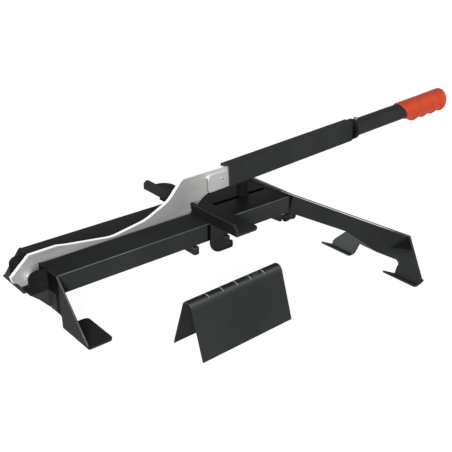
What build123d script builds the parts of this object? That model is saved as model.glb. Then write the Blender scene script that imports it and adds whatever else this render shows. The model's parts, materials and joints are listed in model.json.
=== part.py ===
from build123d import *
import math
import os

# Sizes in millimetres. X runs along the beams towards the grip, Y to the rear, Z up.
# Distances along X start close to the beams' left ends, along Y at the blade, along Z at the floor.

# Sheet and gaps
SHEET = 3.0
BEND = 1.5
FIT = 0.03
RUN = 0.06
SLIP = 0.15

# Beams
BEAM_LEFT = 1.4
BEAM_LENGTH = 366.6
BEAM_WIDTH = 43.0
BEAM_HEIGHT = 26.1
BEAM_WALL = 2.0
BEAM_CORNER = 2.5
BEAM_TOP = 68.4
BLADE_GAP = 9.0

# Left end plate and its feet
FOOT_REACH = 111.3
FOOT_HEEL = 52.0
FOOT_TAB = 31.0
FOOT_CORNER = 6.0
ARCH_HEIGHT = 17.4
ARCH_CORNER = 4.0
SLOT_FLOOR = 35.0

# Pivot brackets, gussets, pin and spacers
BRACKET_LENGTH = 24.0
BRACKET_HALF = 26.5
BRACKET_LOW = 41.5
BRACKET_TOP = 70.5
BRACKET_CORNER = 9.0
GUSSET_LOW = 17.0
GUSSET_SETBACK = 1.5
PIVOT_BACK = 11.0
PIVOT_HEIGHT = 53.0
PIN_RADIUS = 5.0
PIN_HEAD_RADIUS = 7.5
PIN_HEAD = 3.0
PIN_PROUD = 0.6
SPACER_RADIUS = 7.8

# Handle axis, at the left end of the channel
HANDLE_X = 290.5
HANDLE_Z = 106.25
HANDLE_TILT = 2.95

# Blade outline, closed, seen from the front as (x, z)
BLADE_THICK = 5.0
TAIL_TIP = (-36.6, 59.0)
TAIL_TOP = (-10.9, 81.1)
HUMP = (26.4, 81.4)
HUMP_END = (38.2, 78.9)
DIP = (103.5, 69.3)
RISE = (155.5, 77.3)
SHOULDER = (191.9, 94.0)
NECK = (215.2, 119.2)
BACK_CORNERS = ((TAIL_TOP, 3.0), (DIP, 60.0), (RISE, 60.0), (SHOULDER, 40.0), (NECK, 8.0))
THROAT_X = 268.0
THROAT_MID = (251.5, 85.8)
THROAT_LOW = (237.6, 73.9)
EDGE_TIP = (234.5, 57.0)
EDGE_HEEL = (10.0, 46.0)
HEEL = (-5.0, 39.0)
EYE_LOW = (-17.0, 39.0)
EYE_LEFT = (-23.0, 41.5)
TAIL_STEP = (-30.0, 50.0)
TAIL_LOW = (-34.5, 51.5)
BEVEL = 8.0
EDGE_LAND = 0.25

# Tang, side bars and their fasteners, along (u) and above (w) the handle axis
TANG_LENGTH = 50.0
TANG_TOP = 13.9
TANG_LOW = 14.2
BAR_START = 36.0
BAR_LENGTH = 82.0
BAR_TOP = 10.7
BAR_CORNER = 7.0
BAR_HEEL_CORNER = 4.0
RIVET_BACK = 10.0
RIVET_RADIUS = 2.4
SCREW_RADIUS = 2.5
SCREW_HEAD_RADIUS = 4.0
SCREW_HEAD = 1.5
SCREW_FIRST = 13.0
SCREW_PITCH = 22.0
SCREW_BITE = 3.5

# Handle channel, spigot and tube
CHANNEL_LENGTH = 251.0
CHANNEL_WIDTH = 18.0
CHANNEL_HEIGHT = 32.0
CHANNEL_WALL = 1.5
CHANNEL_CORNER = 1.8
PLUG_LENGTH = 40.0
PLUG_SCREW_BACK = 20.0
PLUG_SCREW_DEPTH = 12.0
COLLAR_RADIUS = 16.2
COLLAR_LENGTH = 9.5
SPIGOT_LENGTH = 60.0
SPIGOT_CHAMFER = 1.0
KEYWAY_WIDTH = 9.4
KEYWAY_FLOOR = 4.35
TUBE_RADIUS = 13.5
TUBE_WALL = 1.5
TUBE_LENGTH = 215.0

# Lock button and its leaf spring
BUTTON_BACK = 6.2
BUTTON_RADIUS = 3.2
BUTTON_TOP = 17.4
BUTTON_ROUND = 1.6
BUTTON_FLANGE_RADIUS = 4.2
BUTTON_FLANGE = 1.2
LEAF_THICK = 0.6
LEAF_WIDTH = 6.0
LEAF_FLAT = 18.0
LEAF_RISE = 52.0
LEAF_SEAT = 8.0

# Grip, from its rim to its end, as heights above and below the handle axis
GRIP_START = 368.0
GRIP_END = 487.5
GRIP_RIM_BACK = 10.0
GRIP_RIM_LEAN = 28.0
GRIP_THIN = 15.2
GRIP_THIN_BELOW = 15.6
GRIP_LEAD_POWER = 2.0
GRIP_THICK = 16.2
GRIP_GROOVE = 19.7
GRIP_BUMP = 23.5
BUMP_FIRST = 407.5
BUMP_PITCH = 24.0
GRIP_DOME = 8.0
GRIP_DOME_SHARE = 0.62
GRIP_STEP = 4.3
DOME_STEPS = 4

# Fence and its hooks
FENCE_X = 224.0
FENCE_DEPTH = 40.5
FENCE_HEIGHT = 15.6
FENCE_WALL = 4.5
FENCE_FRONT = 102.9
FENCE_REAR = 106.0
FENCE_SPLIT = 6.0
FENCE_BEVEL = 4.5
FENCE_NOTCH = 19.5
FENCE_CORNER = 9.0
FENCE_REAR_CORNER = 18.0
FENCE_NOSE = 6.0
HOOK_GAP = 0.5
HOOK_LENGTH = 38.5
HOOK_LOW = 23.5
HOOK_TIP = 34.5
HOOK_CORNER = 17.0
HOOK_NOSE = 2.5
HOOK_FLOOR_GAP = 0.3
SEAT_REACH = 66.3

# Cross ties under the beams
TIE_WIDTH = 8.6
TIE_HEIGHT = 10.4
TIE_PROUD = 4.5
TIE_CORNER = 2.0
TIE_FIRST = 200.0
TIE_SECOND = 252.7

# Bumper post under the handle
POST_FROM_END = 46.0
POST_RADIUS = 9.0
POST_ROUND = 2.0
POST_BORE_DEPTH = 14.0
STRAP_LENGTH = 34.0
STRAP_WIDTH = 26.0
POST_SCREW_RADIUS = 2.5
POST_SCREW_HEAD_RADIUS = 4.6
POST_SCREW_HEAD = 3.5

# Right end plate, ears, bolts and nuts
LUG_Y = 46.5
LUG_Z = 35.8
LUG_RADIUS = 5.0
BOLT_RADIUS = 3.0
BOLT_HEAD_RADIUS = 5.8
BOLT_HEAD = 6.0
BOLT_PROUD = 2.0
NUT_RADIUS = 5.8
NUT_HEIGHT = 5.0
EAR_LENGTH = 31.0
EAR_TOE = 12.0
EAR_GAP = 8.0
EAR_DEPTH = 11.1

# Right leg: skewed band, leaning apron with two feet, and the rear foot
LEG_SHEET = 5.0
LEG_TOP = 70.4
LEG_SKEW = 7.4
APRON_OUT = 33.5
APRON_LEAN = 24.8
LEG_TIP_Y = -264.4
LEG_TIP_Z = 9.5
LEG_SHOULDER_Y = -239.4
LEG_SHOULDER_Z = 67.7
APRON_START_Y = -146.7
MID_FOOT_KNEE = (-110.7, 13.2)
MID_FOOT_REAR = -102.6
MID_FOOT_FRONT = -142.0
LEG_ARCH_REAR = (-163.5, 31.3)
LEG_ARCH_FRONT = (-232.0, 29.8)
LEG_ARCH_REAR_CORNER = 10.0
LEG_ARCH_FRONT_CORNER = 5.0
END_FOOT_REAR = -216.5
END_FOOT_FRONT = -256.0
LEG_TAB = 5.8
LEG_TONGUE = 14.0
LEG_TAB_CORNER = 3.0
REAR_FOOT_HEEL = 60.0
REAR_TAB = 30.0

# V support
V_LEFT = 83.0
V_LENGTH = 138.4
V_MIDDLE = -184.2
V_TURN = 1.5
V_HALF = 27.1
V_TOP = 65.8
V_RADIUS = 8.5
V_SHEET = 1.6
SLIT_COUNT = 5
SLIT_PITCH = 21.2
SLIT_WIDTH = 1.4
SLIT_REACH = 5.6

# Derived places
BEAM_IN = BLADE_GAP / 2
BEAM_OUT = BEAM_IN + BEAM_WIDTH
BEAM_LOW = BEAM_TOP - BEAM_HEIGHT
BEAM_MIDDLE = (BEAM_IN + BEAM_OUT) / 2
PIVOT = (-PIVOT_BACK, PIVOT_HEIGHT)
BEAM_RIGHT = BEAM_LEFT + BEAM_LENGTH
PLATE_OUTER = BEAM_LEFT - SHEET
BRACKET_LEFT = PLATE_OUTER - BRACKET_LENGTH
CHEEK_IN = BRACKET_HALF - SHEET
END_OUTER = BEAM_RIGHT + SHEET
LEG_OUTER = END_OUTER + LEG_SHEET
APRON_FLOOR_X = END_OUTER + APRON_OUT
POST_X = BEAM_RIGHT - POST_FROM_END
TIE_LOW = BEAM_LOW - TIE_HEIGHT
FENCE_TOP = BEAM_TOP + FENCE_HEIGHT
BAR_THICK = CHANNEL_WIDTH / 2 - CHANNEL_WALL - BLADE_THICK / 2 - SLIP / 2
CHANNEL_HALF = CHANNEL_HEIGHT / 2
TUBE_INNER = TUBE_RADIUS - TUBE_WALL
COLLAR_END = CHANNEL_LENGTH + COLLAR_LENGTH
TUBE_START = COLLAR_END + SLIP
TUBE_END = TUBE_START + TUBE_LENGTH
BUTTON_U = TUBE_START + BUTTON_BACK
BUTTON_SEAT = math.sqrt(TUBE_INNER**2 - BUTTON_FLANGE_RADIUS**2) - SLIP / 2
BUTTON_FOOT = BUTTON_SEAT - BUTTON_FLANGE

# Handle axis directions
TILT = math.radians(HANDLE_TILT)
ALONG = (math.cos(TILT), 0, math.sin(TILT))
ABOVE = (-math.sin(TILT), 0, math.cos(TILT))


def handle_point(u, w):
    """Point u along and w above the handle axis, as (x, z)."""
    return (HANDLE_X + u * ALONG[0] + w * ABOVE[0], HANDLE_Z + u * ALONG[2] + w * ABOVE[2])


def grip_below(u):
    """Depth of the grip under the handle axis: a lead-in, then a wave of finger bumps."""
    if u < BUMP_FIRST:
        lead = ((u - GRIP_START) / (BUMP_FIRST - GRIP_START)) ** GRIP_LEAD_POWER
        return GRIP_THIN_BELOW + (GRIP_BUMP - GRIP_THIN_BELOW) * (1 - math.cos(math.pi * lead)) / 2
    wave = math.cos(2 * math.pi * (u - BUMP_FIRST) / BUMP_PITCH)
    return (GRIP_BUMP + GRIP_GROOVE) / 2 + (GRIP_BUMP - GRIP_GROOVE) / 2 * wave


# The origin lies on the floor under the middle of the closed cutter's outline
GRIP_END_LOW = (GRIP_THICK + grip_below(GRIP_END)) / 2 * GRIP_DOME_SHARE
GRIP_END_MIDDLE = (GRIP_THICK - grip_below(GRIP_END)) / 2
GRIP_TIP_X = handle_point(GRIP_END, GRIP_END_MIDDLE - GRIP_END_LOW)[0]
MIDDLE_X = (TAIL_TIP[0] + GRIP_TIP_X) / 2
MIDDLE_Y = (LEG_TIP_Y + FOOT_REACH) / 2


def front_view(y):
    """Upright plane across Y, with local axes x and z; it extrudes to the front."""
    return Plane((-MIDDLE_X, y - MIDDLE_Y, 0), x_dir=(1, 0, 0), z_dir=(0, -1, 0))


def end_view(x):
    """Upright plane across X, with local axes y and z; it extrudes to the right."""
    return Plane((x - MIDDLE_X, -MIDDLE_Y, 0), x_dir=(0, 1, 0), z_dir=(1, 0, 0))


def top_view(z):
    """Level plane with local axes x and y; it extrudes upwards."""
    return Plane((-MIDDLE_X, -MIDDLE_Y, z), x_dir=(1, 0, 0), z_dir=(0, 0, 1))


def handle_side(y):
    """Upright plane through the handle axis, moved to y; it extrudes to the front."""
    return Plane((HANDLE_X - MIDDLE_X, y - MIDDLE_Y, HANDLE_Z), x_dir=ALONG, z_dir=(0, -1, 0))


def handle_cross(u):
    """Plane square to the handle axis at u; it extrudes along the handle."""
    x, z = handle_point(u, 0)
    return Plane((x - MIDDLE_X, -MIDDLE_Y, z), x_dir=(0, 1, 0), z_dir=ALONG)


def handle_top(w):
    """Plane along the handle at height w; it extrudes away from the handle's underside."""
    x, z = handle_point(0, w)
    return Plane((x - MIDDLE_X, -MIDDLE_Y, z), x_dir=ALONG, z_dir=ABOVE)


def save(piece, label):
    """Label a finished piece and write it out."""
    piece.part.label = label
    export_step(piece.part, f"parts/{label}.step")


os.makedirs("parts", exist_ok=True)

# Beams: hollow rectangular sections on each side of the blade gap
for label, side in (("front_beam", -1), ("rear_beam", 1)):
    with BuildPart() as beam:
        with BuildSketch(end_view(BEAM_LEFT)):
            with Locations((side * BEAM_MIDDLE, BEAM_TOP - BEAM_HEIGHT / 2)):
                RectangleRounded(BEAM_WIDTH, BEAM_HEIGHT, BEAM_CORNER)
                Rectangle(
                    BEAM_WIDTH - 2 * BEAM_WALL,
                    BEAM_HEIGHT - 2 * BEAM_WALL,
                    mode=Mode.SUBTRACT,
                )
        extrude(amount=BEAM_LENGTH)
    save(beam, label)

# Left end plate: two slanted legs, an arch between them and a slot for the blade
TAB_MIDDLE = PLATE_OUTER + (FOOT_TAB + SHEET) / 2
with BuildPart() as left_end_plate:
    with BuildSketch(end_view(PLATE_OUTER)):
        with BuildLine():
            Polyline(
                (0, BEAM_TOP),
                (-BEAM_OUT, BEAM_TOP),
                (-FOOT_REACH, 0),
                (-FOOT_HEEL, 0),
                (-FOOT_HEEL, ARCH_HEIGHT),
                (0, ARCH_HEIGHT),
            )
            mirror(about=Plane.YZ)
        plate_face = make_face()
        fillet(
            [v for v in plate_face.vertices() if abs(v.Y - ARCH_HEIGHT) < FIT],
            ARCH_CORNER,
        )
        with Locations((0, (BEAM_TOP + SLOT_FLOOR) / 2)):
            Rectangle(BLADE_GAP, BEAM_TOP - SLOT_FLOOR, mode=Mode.SUBTRACT)
    extrude(amount=SHEET)
    for side in (-1, 1):
        with BuildSketch(top_view(0)) as tab_sketch:
            with Locations((TAB_MIDDLE, side * (FOOT_REACH + FOOT_HEEL) / 2)):
                Rectangle(FOOT_TAB + SHEET, FOOT_REACH - FOOT_HEEL)
            fillet(tab_sketch.vertices().group_by(Axis.X)[-1], FOOT_CORNER)
        extrude(amount=SHEET)
    folds = left_end_plate.edges().filter_by(Axis.Y).group_by(Axis.X)[0].group_by(Axis.Z)[0]
    fillet(folds, SHEET - BEND / 2)
save(left_end_plate, "left_end_plate")

# Pivot brackets: an angle on each side of the blade, cheek upright and floor level
for label, side in (("front_pivot_bracket", -1), ("rear_pivot_bracket", 1)):
    with BuildPart() as bracket:
        with BuildSketch(front_view(side * (BRACKET_HALF + CHEEK_IN) / 2)) as cheek_sketch:
            with Locations((PLATE_OUTER - BRACKET_LENGTH / 2, (BRACKET_TOP + BRACKET_LOW) / 2)):
                Rectangle(BRACKET_LENGTH, BRACKET_TOP - BRACKET_LOW)
            fillet(
                cheek_sketch.vertices().group_by(Axis.Y)[-1].sort_by(Axis.X)[0],
                BRACKET_CORNER,
            )
            with Locations(PIVOT):
                Circle(PIN_RADIUS + FIT, mode=Mode.SUBTRACT)
        extrude(amount=SHEET / 2, both=True)
        with BuildSketch(top_view(BRACKET_LOW)):
            with Locations((PLATE_OUTER - BRACKET_LENGTH / 2, side * (BEAM_IN + BRACKET_HALF) / 2)):
                Rectangle(BRACKET_LENGTH, BRACKET_HALF - BEAM_IN)
        extrude(amount=SHEET)
        rims = bracket.edges().filter_by(Axis.X).group_by(Axis.Z)[0].sort_by(Axis.Y)
        fillet(rims[0] if side < 0 else rims[-1], BEND)
    save(bracket, label)

# Gussets: a triangular web under each bracket floor, against the end plate
with BuildPart() as bracket_gussets:
    for side in (-1, 1):
        web_middle = side * (BRACKET_HALF - BEND - GUSSET_SETBACK - SHEET / 2)
        with BuildSketch(front_view(web_middle)):
            with BuildLine():
                Polyline(
                    (BRACKET_LEFT, BRACKET_LOW),
                    (PLATE_OUTER, BRACKET_LOW),
                    (PLATE_OUTER, GUSSET_LOW),
                    (PLATE_OUTER - BRACKET_LENGTH / 2, (BRACKET_LOW + GUSSET_LOW) / 2 + BEND),
                    close=True,
                )
            make_face()
        extrude(amount=SHEET / 2, both=True)
save(bracket_gussets, "bracket_gussets")

# Pivot pin: head at the rear, pressed through both cheeks
with BuildPart() as pivot_pin:
    with BuildSketch(front_view(BRACKET_HALF)):
        with Locations(PIVOT):
            Circle(PIN_RADIUS)
    extrude(amount=2 * BRACKET_HALF + PIN_PROUD)
    with BuildSketch(front_view(BRACKET_HALF + PIN_HEAD)):
        with Locations(PIVOT):
            Circle(PIN_HEAD_RADIUS)
    extrude(amount=PIN_HEAD)
save(pivot_pin, "pivot_pin")

# Spacers: hold the blade in the middle between the cheeks
SPACER_LENGTH = CHEEK_IN - BLADE_THICK / 2 - SLIP
with BuildPart() as pivot_spacers:
    for start in (CHEEK_IN, SPACER_LENGTH - CHEEK_IN):
        with BuildSketch(front_view(start)):
            with Locations(PIVOT):
                Circle(SPACER_RADIUS)
                Circle(PIN_RADIUS + RUN, mode=Mode.SUBTRACT)
        extrude(amount=SPACER_LENGTH)
save(pivot_spacers, "pivot_spacers")

# Blade: tail, pivot eye, dipped back, neck and tang, with a ground edge below
RIVET = handle_point(-RIVET_BACK, 0)
SCREWS = [handle_point(SCREW_FIRST + i * SCREW_PITCH, 0) for i in range(2)]
THROAT_U = (THROAT_X - HANDLE_X) / ALONG[0]
EDGE_RUN = (EDGE_TIP[0] - EDGE_HEEL[0], EDGE_TIP[1] - EDGE_HEEL[1])
with BuildPart() as blade:
    with BuildSketch(front_view(0)) as blade_sketch:
        with BuildLine():
            Polyline(
                TAIL_TIP,
                TAIL_TOP,
                HUMP,
                HUMP_END,
                DIP,
                RISE,
                SHOULDER,
                NECK,
                handle_point(0, TANG_TOP),
                handle_point(TANG_LENGTH, TANG_TOP),
                handle_point(TANG_LENGTH, -TANG_LOW),
                handle_point(THROAT_U, -TANG_LOW),
            )
            ThreePointArc(handle_point(THROAT_U, -TANG_LOW), THROAT_MID, THROAT_LOW)
            Polyline(
                THROAT_LOW,
                EDGE_TIP,
                EDGE_HEEL,
                HEEL,
                EYE_LOW,
                EYE_LEFT,
                TAIL_STEP,
                TAIL_LOW,
                TAIL_TIP,
            )
        make_face()
        for corner, radius in BACK_CORNERS:
            fillet(blade_sketch.vertices().sort_by_distance((*corner, 0))[0], radius)
        with Locations(PIVOT):
            Circle(PIN_RADIUS + RUN, mode=Mode.SUBTRACT)
        with Locations(RIVET):
            Circle(RIVET_RADIUS + FIT, mode=Mode.SUBTRACT)
        with Locations(*SCREWS):
            Circle(SCREW_RADIUS + FIT, mode=Mode.SUBTRACT)
    extrude(amount=BLADE_THICK / 2, both=True)
    edge_plane = Plane(
        (EDGE_HEEL[0] - MIDDLE_X, -MIDDLE_Y, EDGE_HEEL[1]),
        x_dir=(0, 1, 0),
        z_dir=(EDGE_RUN[0], 0, EDGE_RUN[1]),
    )
    with BuildSketch(edge_plane):
        for side in (-1, 1):
            with BuildLine():
                Polyline(
                    (side * EDGE_LAND, 0),
                    (side * BLADE_THICK, 0),
                    (side * BLADE_THICK / 2, BEVEL),
                    close=True,
                )
            make_face()
    extrude(amount=math.hypot(*EDGE_RUN), mode=Mode.SUBTRACT)
save(blade, "blade")

# Side bars: pack the tang out to the channel's width
for label, start in (
    ("front_side_bar", -BLADE_THICK / 2),
    ("rear_side_bar", BLADE_THICK / 2 + BAR_THICK),
):
    with BuildPart() as side_bar:
        with BuildSketch(handle_side(start)) as bar_sketch:
            with Locations((BAR_LENGTH / 2 - BAR_START, (BAR_TOP - TANG_LOW) / 2)):
                Rectangle(BAR_LENGTH, BAR_TOP + TANG_LOW)
            fillet(bar_sketch.vertices().group_by(Axis.Y)[-1].sort_by(Axis.X)[0], BAR_CORNER)
            fillet(bar_sketch.vertices().group_by(Axis.Y)[0].sort_by(Axis.X)[0], BAR_HEEL_CORNER)
            with Locations((-RIVET_BACK, 0)):
                Circle(RIVET_RADIUS + FIT, mode=Mode.SUBTRACT)
            if start > 0:
                with Locations((SCREW_FIRST, 0), (SCREW_FIRST + SCREW_PITCH, 0)):
                    Circle(SCREW_RADIUS + FIT, mode=Mode.SUBTRACT)
        extrude(amount=BAR_THICK)
        if start < 0:
            with BuildSketch(handle_side(start)):
                with Locations((SCREW_FIRST, 0), (SCREW_FIRST + SCREW_PITCH, 0)):
                    Circle(SCREW_RADIUS + FIT)
            extrude(amount=SCREW_BITE, mode=Mode.SUBTRACT)
    save(side_bar, label)

# Rivet through both bars and the blade's neck
with BuildPart() as bar_rivet:
    with BuildSketch(handle_side(0)):
        with Locations((-RIVET_BACK, 0)):
            Circle(RIVET_RADIUS)
    extrude(amount=BLADE_THICK / 2 + BAR_THICK, both=True)
save(bar_rivet, "bar_rivet")

# Handle channel: rectangular tube over the tang, countersunk for its screws
with BuildPart() as handle_channel:
    with BuildSketch(handle_cross(0)):
        RectangleRounded(CHANNEL_WIDTH, CHANNEL_HEIGHT, CHANNEL_CORNER)
        Rectangle(
            CHANNEL_WIDTH - 2 * CHANNEL_WALL,
            CHANNEL_HEIGHT - 2 * CHANNEL_WALL,
            mode=Mode.SUBTRACT,
        )
    extrude(amount=CHANNEL_LENGTH)
    with BuildSketch(handle_side(CHANNEL_WIDTH / 2)):
        with Locations((SCREW_FIRST, 0), (SCREW_FIRST + SCREW_PITCH, 0)):
            Circle(SCREW_HEAD_RADIUS + FIT)
    extrude(amount=CHANNEL_WALL, mode=Mode.SUBTRACT)
    with BuildSketch(handle_top(-CHANNEL_HALF)):
        with Locations((CHANNEL_LENGTH - PLUG_SCREW_BACK, 0)):
            Circle(SCREW_HEAD_RADIUS + FIT)
    extrude(amount=CHANNEL_WALL, mode=Mode.SUBTRACT)
save(handle_channel, "handle_channel")

# Handle screws: from the rear through channel, bar and tang into the front bar
with BuildPart() as handle_screws:
    with BuildSketch(handle_side(CHANNEL_WIDTH / 2)):
        with Locations((SCREW_FIRST, 0), (SCREW_FIRST + SCREW_PITCH, 0)):
            Circle(SCREW_RADIUS)
    extrude(amount=CHANNEL_WIDTH / 2 + BLADE_THICK / 2 + SCREW_BITE)
    with BuildSketch(handle_side(CHANNEL_WIDTH / 2)):
        with Locations((SCREW_FIRST, 0), (SCREW_FIRST + SCREW_PITCH, 0)):
            Circle(SCREW_HEAD_RADIUS)
    extrude(amount=SCREW_HEAD)
save(handle_screws, "handle_screws")

# Handle spigot: plug in the channel, collar, and a round spigot with a keyway on top
with BuildPart() as handle_spigot:
    with BuildSketch(handle_cross(CHANNEL_LENGTH - PLUG_LENGTH)):
        Rectangle(
            CHANNEL_WIDTH - 2 * CHANNEL_WALL - SLIP,
            CHANNEL_HEIGHT - 2 * CHANNEL_WALL - SLIP,
        )
    extrude(amount=PLUG_LENGTH)
    with BuildSketch(handle_cross(CHANNEL_LENGTH)):
        Circle(COLLAR_RADIUS)
    extrude(amount=COLLAR_LENGTH)
    with BuildSketch(handle_cross(COLLAR_END)):
        Circle(TUBE_INNER - RUN)
    extrude(amount=SPIGOT_LENGTH)
    chamfer(handle_spigot.edges().filter_by(GeomType.CIRCLE).sort_by(Axis.X)[-1], SPIGOT_CHAMFER)
    with BuildSketch(handle_top(KEYWAY_FLOOR)):
        with Locations((COLLAR_END + SPIGOT_LENGTH / 2, 0)):
            Rectangle(SPIGOT_LENGTH, KEYWAY_WIDTH)
    extrude(amount=TUBE_INNER, mode=Mode.SUBTRACT)
    with BuildSketch(handle_top(-CHANNEL_HALF)):
        with Locations((CHANNEL_LENGTH - PLUG_SCREW_BACK, 0)):
            Circle(SCREW_RADIUS + FIT)
    extrude(amount=CHANNEL_WALL + PLUG_SCREW_DEPTH, mode=Mode.SUBTRACT)
save(handle_spigot, "handle_spigot")

# Spigot screw: from below through the channel's floor into the plug
with BuildPart() as spigot_screw:
    with BuildSketch(handle_top(-CHANNEL_HALF)):
        with Locations((CHANNEL_LENGTH - PLUG_SCREW_BACK, 0)):
            Circle(SCREW_RADIUS)
    extrude(amount=CHANNEL_WALL + PLUG_SCREW_DEPTH)
    with BuildSketch(handle_top(-CHANNEL_HALF)):
        with Locations((CHANNEL_LENGTH - PLUG_SCREW_BACK, 0)):
            Circle(SCREW_HEAD_RADIUS)
    extrude(amount=SCREW_HEAD)
save(spigot_screw, "spigot_screw")

# Handle tube: slides on the spigot, with a hole for the button
with BuildPart() as handle_tube:
    with BuildSketch(handle_cross(TUBE_START)):
        Circle(TUBE_RADIUS)
        Circle(TUBE_INNER, mode=Mode.SUBTRACT)
    extrude(amount=TUBE_LENGTH)
    with BuildSketch(handle_top(0)):
        with Locations((BUTTON_U, 0)):
            Circle(BUTTON_RADIUS + SLIP)
    extrude(amount=TUBE_RADIUS + FIT, mode=Mode.SUBTRACT)
save(handle_tube, "handle_tube")

# Lock button: domed stem through the tube's wall, with a flange under it
with BuildPart() as lock_button:
    with BuildSketch(handle_top(BUTTON_FOOT)):
        with Locations((BUTTON_U, 0)):
            Circle(BUTTON_FLANGE_RADIUS)
    extrude(amount=BUTTON_FLANGE)
    with BuildSketch(handle_top(BUTTON_FOOT)):
        with Locations((BUTTON_U, 0)):
            Circle(BUTTON_RADIUS)
    extrude(amount=BUTTON_TOP - BUTTON_FOOT)
    fillet(lock_button.edges().filter_by(GeomType.CIRCLE).sort_by(Axis.Z)[-1], BUTTON_ROUND)
save(lock_button, "lock_button")

# Button spring: a leaf under the button that runs along the keyway up to the tube's wall
LEAF_LOW = KEYWAY_FLOOR + SLIP
LEAF_HIGH = math.sqrt(TUBE_INNER**2 - (LEAF_WIDTH / 2) ** 2)
LEAF_SLOPE_END = BUTTON_U + LEAF_RISE
with BuildPart() as button_spring:
    with BuildSketch(handle_side(0)):
        with BuildLine():
            Polyline(
                (BUTTON_U - BUTTON_RADIUS, LEAF_LOW),
                (BUTTON_U + LEAF_FLAT, LEAF_LOW),
                (LEAF_SLOPE_END, LEAF_HIGH - LEAF_THICK),
                (LEAF_SLOPE_END + LEAF_SEAT, LEAF_HIGH - LEAF_THICK),
                (LEAF_SLOPE_END + LEAF_SEAT, LEAF_HIGH),
                (LEAF_SLOPE_END, LEAF_HIGH),
                (BUTTON_U + LEAF_FLAT, LEAF_LOW + LEAF_THICK),
                (BUTTON_U - BUTTON_RADIUS, LEAF_LOW + LEAF_THICK),
                close=True,
            )
        make_face()
    extrude(amount=LEAF_WIDTH / 2, both=True)
save(button_spring, "button_spring")
# Grip: ovals along the handle whose lower half swells into finger bumps, with a rounded end
DOME_START = GRIP_END - GRIP_DOME
BODY_STEPS = round((DOME_START - GRIP_START) / GRIP_STEP)
BODY_STATIONS = [GRIP_START + (DOME_START - GRIP_START) * i / BODY_STEPS for i in range(BODY_STEPS)]
DOME_STATIONS = [DOME_START + GRIP_DOME * i / DOME_STEPS for i in range(DOME_STEPS + 1)]
GRIP_CUT = 2 * GRIP_BUMP
GRIP_RIM = GRIP_START + GRIP_RIM_BACK
RIM_SPREAD = GRIP_CUT * math.tan(math.radians(GRIP_RIM_LEAN))
with BuildPart() as grip:
    for u in BODY_STATIONS + DOME_STATIONS:
        share = (u - GRIP_START) / (GRIP_END - GRIP_START)
        above = GRIP_THIN + share * (GRIP_THICK - GRIP_THIN)
        below = grip_below(u)
        dome = max(0, (u - DOME_START) / GRIP_DOME)
        size = math.sqrt(1 - (1 - GRIP_DOME_SHARE**2) * dome**2)
        with BuildSketch(handle_cross(u)):
            with Locations((0, (above - below) / 2)):
                Ellipse(above * size, (above + below) / 2 * size)
    loft(ruled=True)
    with BuildSketch(handle_cross(GRIP_START)):
        Circle(TUBE_RADIUS)
    extrude(amount=TUBE_END - GRIP_START, mode=Mode.SUBTRACT)
    with BuildSketch(handle_side(0)):
        with BuildLine():
            Polyline(
                (GRIP_START - RIM_SPREAD, -GRIP_CUT),
                (GRIP_RIM + RIM_SPREAD, -GRIP_CUT),
                (GRIP_RIM - RIM_SPREAD, GRIP_CUT),
                (GRIP_START - RIM_SPREAD, GRIP_CUT),
                close=True,
            )
        make_face()
    extrude(amount=GRIP_CUT, both=True, mode=Mode.SUBTRACT)
save(grip, "grip")

# Fence: flange across both beams, upright wall split for the blade, hooked end at the front
with BuildPart() as fence:
    with BuildSketch(top_view(BEAM_TOP)) as flange_sketch:
        with Locations((FENCE_X + FENCE_DEPTH / 2, (FENCE_REAR - FENCE_FRONT) / 2)):
            Rectangle(FENCE_DEPTH, FENCE_REAR + FENCE_FRONT)
        right_corners = flange_sketch.vertices().group_by(Axis.X)[-1].sort_by(Axis.Y)
        fillet(right_corners[0], FENCE_CORNER)
        right_corners = flange_sketch.vertices().group_by(Axis.Y)[-1].sort_by(Axis.X)
        fillet(right_corners[-1], FENCE_REAR_CORNER)
        with Locations((FENCE_X + FENCE_NOTCH / 2, 0)):
            Rectangle(FENCE_NOTCH, 2 * FENCE_SPLIT, mode=Mode.SUBTRACT)
    extrude(amount=SHEET)
    with BuildSketch(end_view(FENCE_X)):
        with BuildLine():
            Polyline(
                (-FENCE_FRONT, BEAM_TOP),
                (-FENCE_SPLIT - FENCE_BEVEL, BEAM_TOP),
                (-FENCE_SPLIT, FENCE_TOP),
                (-FENCE_FRONT + FENCE_NOSE, FENCE_TOP),
                (-FENCE_FRONT, FENCE_TOP - FENCE_NOSE),
                close=True,
            )
        make_face()
        with BuildLine():
            Polyline(
                (FENCE_SPLIT, BEAM_TOP),
                (FENCE_REAR, BEAM_TOP),
                (FENCE_REAR, FENCE_TOP - FENCE_NOSE),
                (FENCE_REAR - FENCE_NOSE, FENCE_TOP),
                (FENCE_SPLIT, FENCE_TOP),
                close=True,
            )
        make_face()
    extrude(amount=FENCE_WALL)
    base_edge = fence.edges().filter_by(Axis.Y).group_by(Axis.Z)[0].group_by(Axis.X)[0]
    fillet(base_edge, BEND)
save(fence, "fence")

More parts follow.
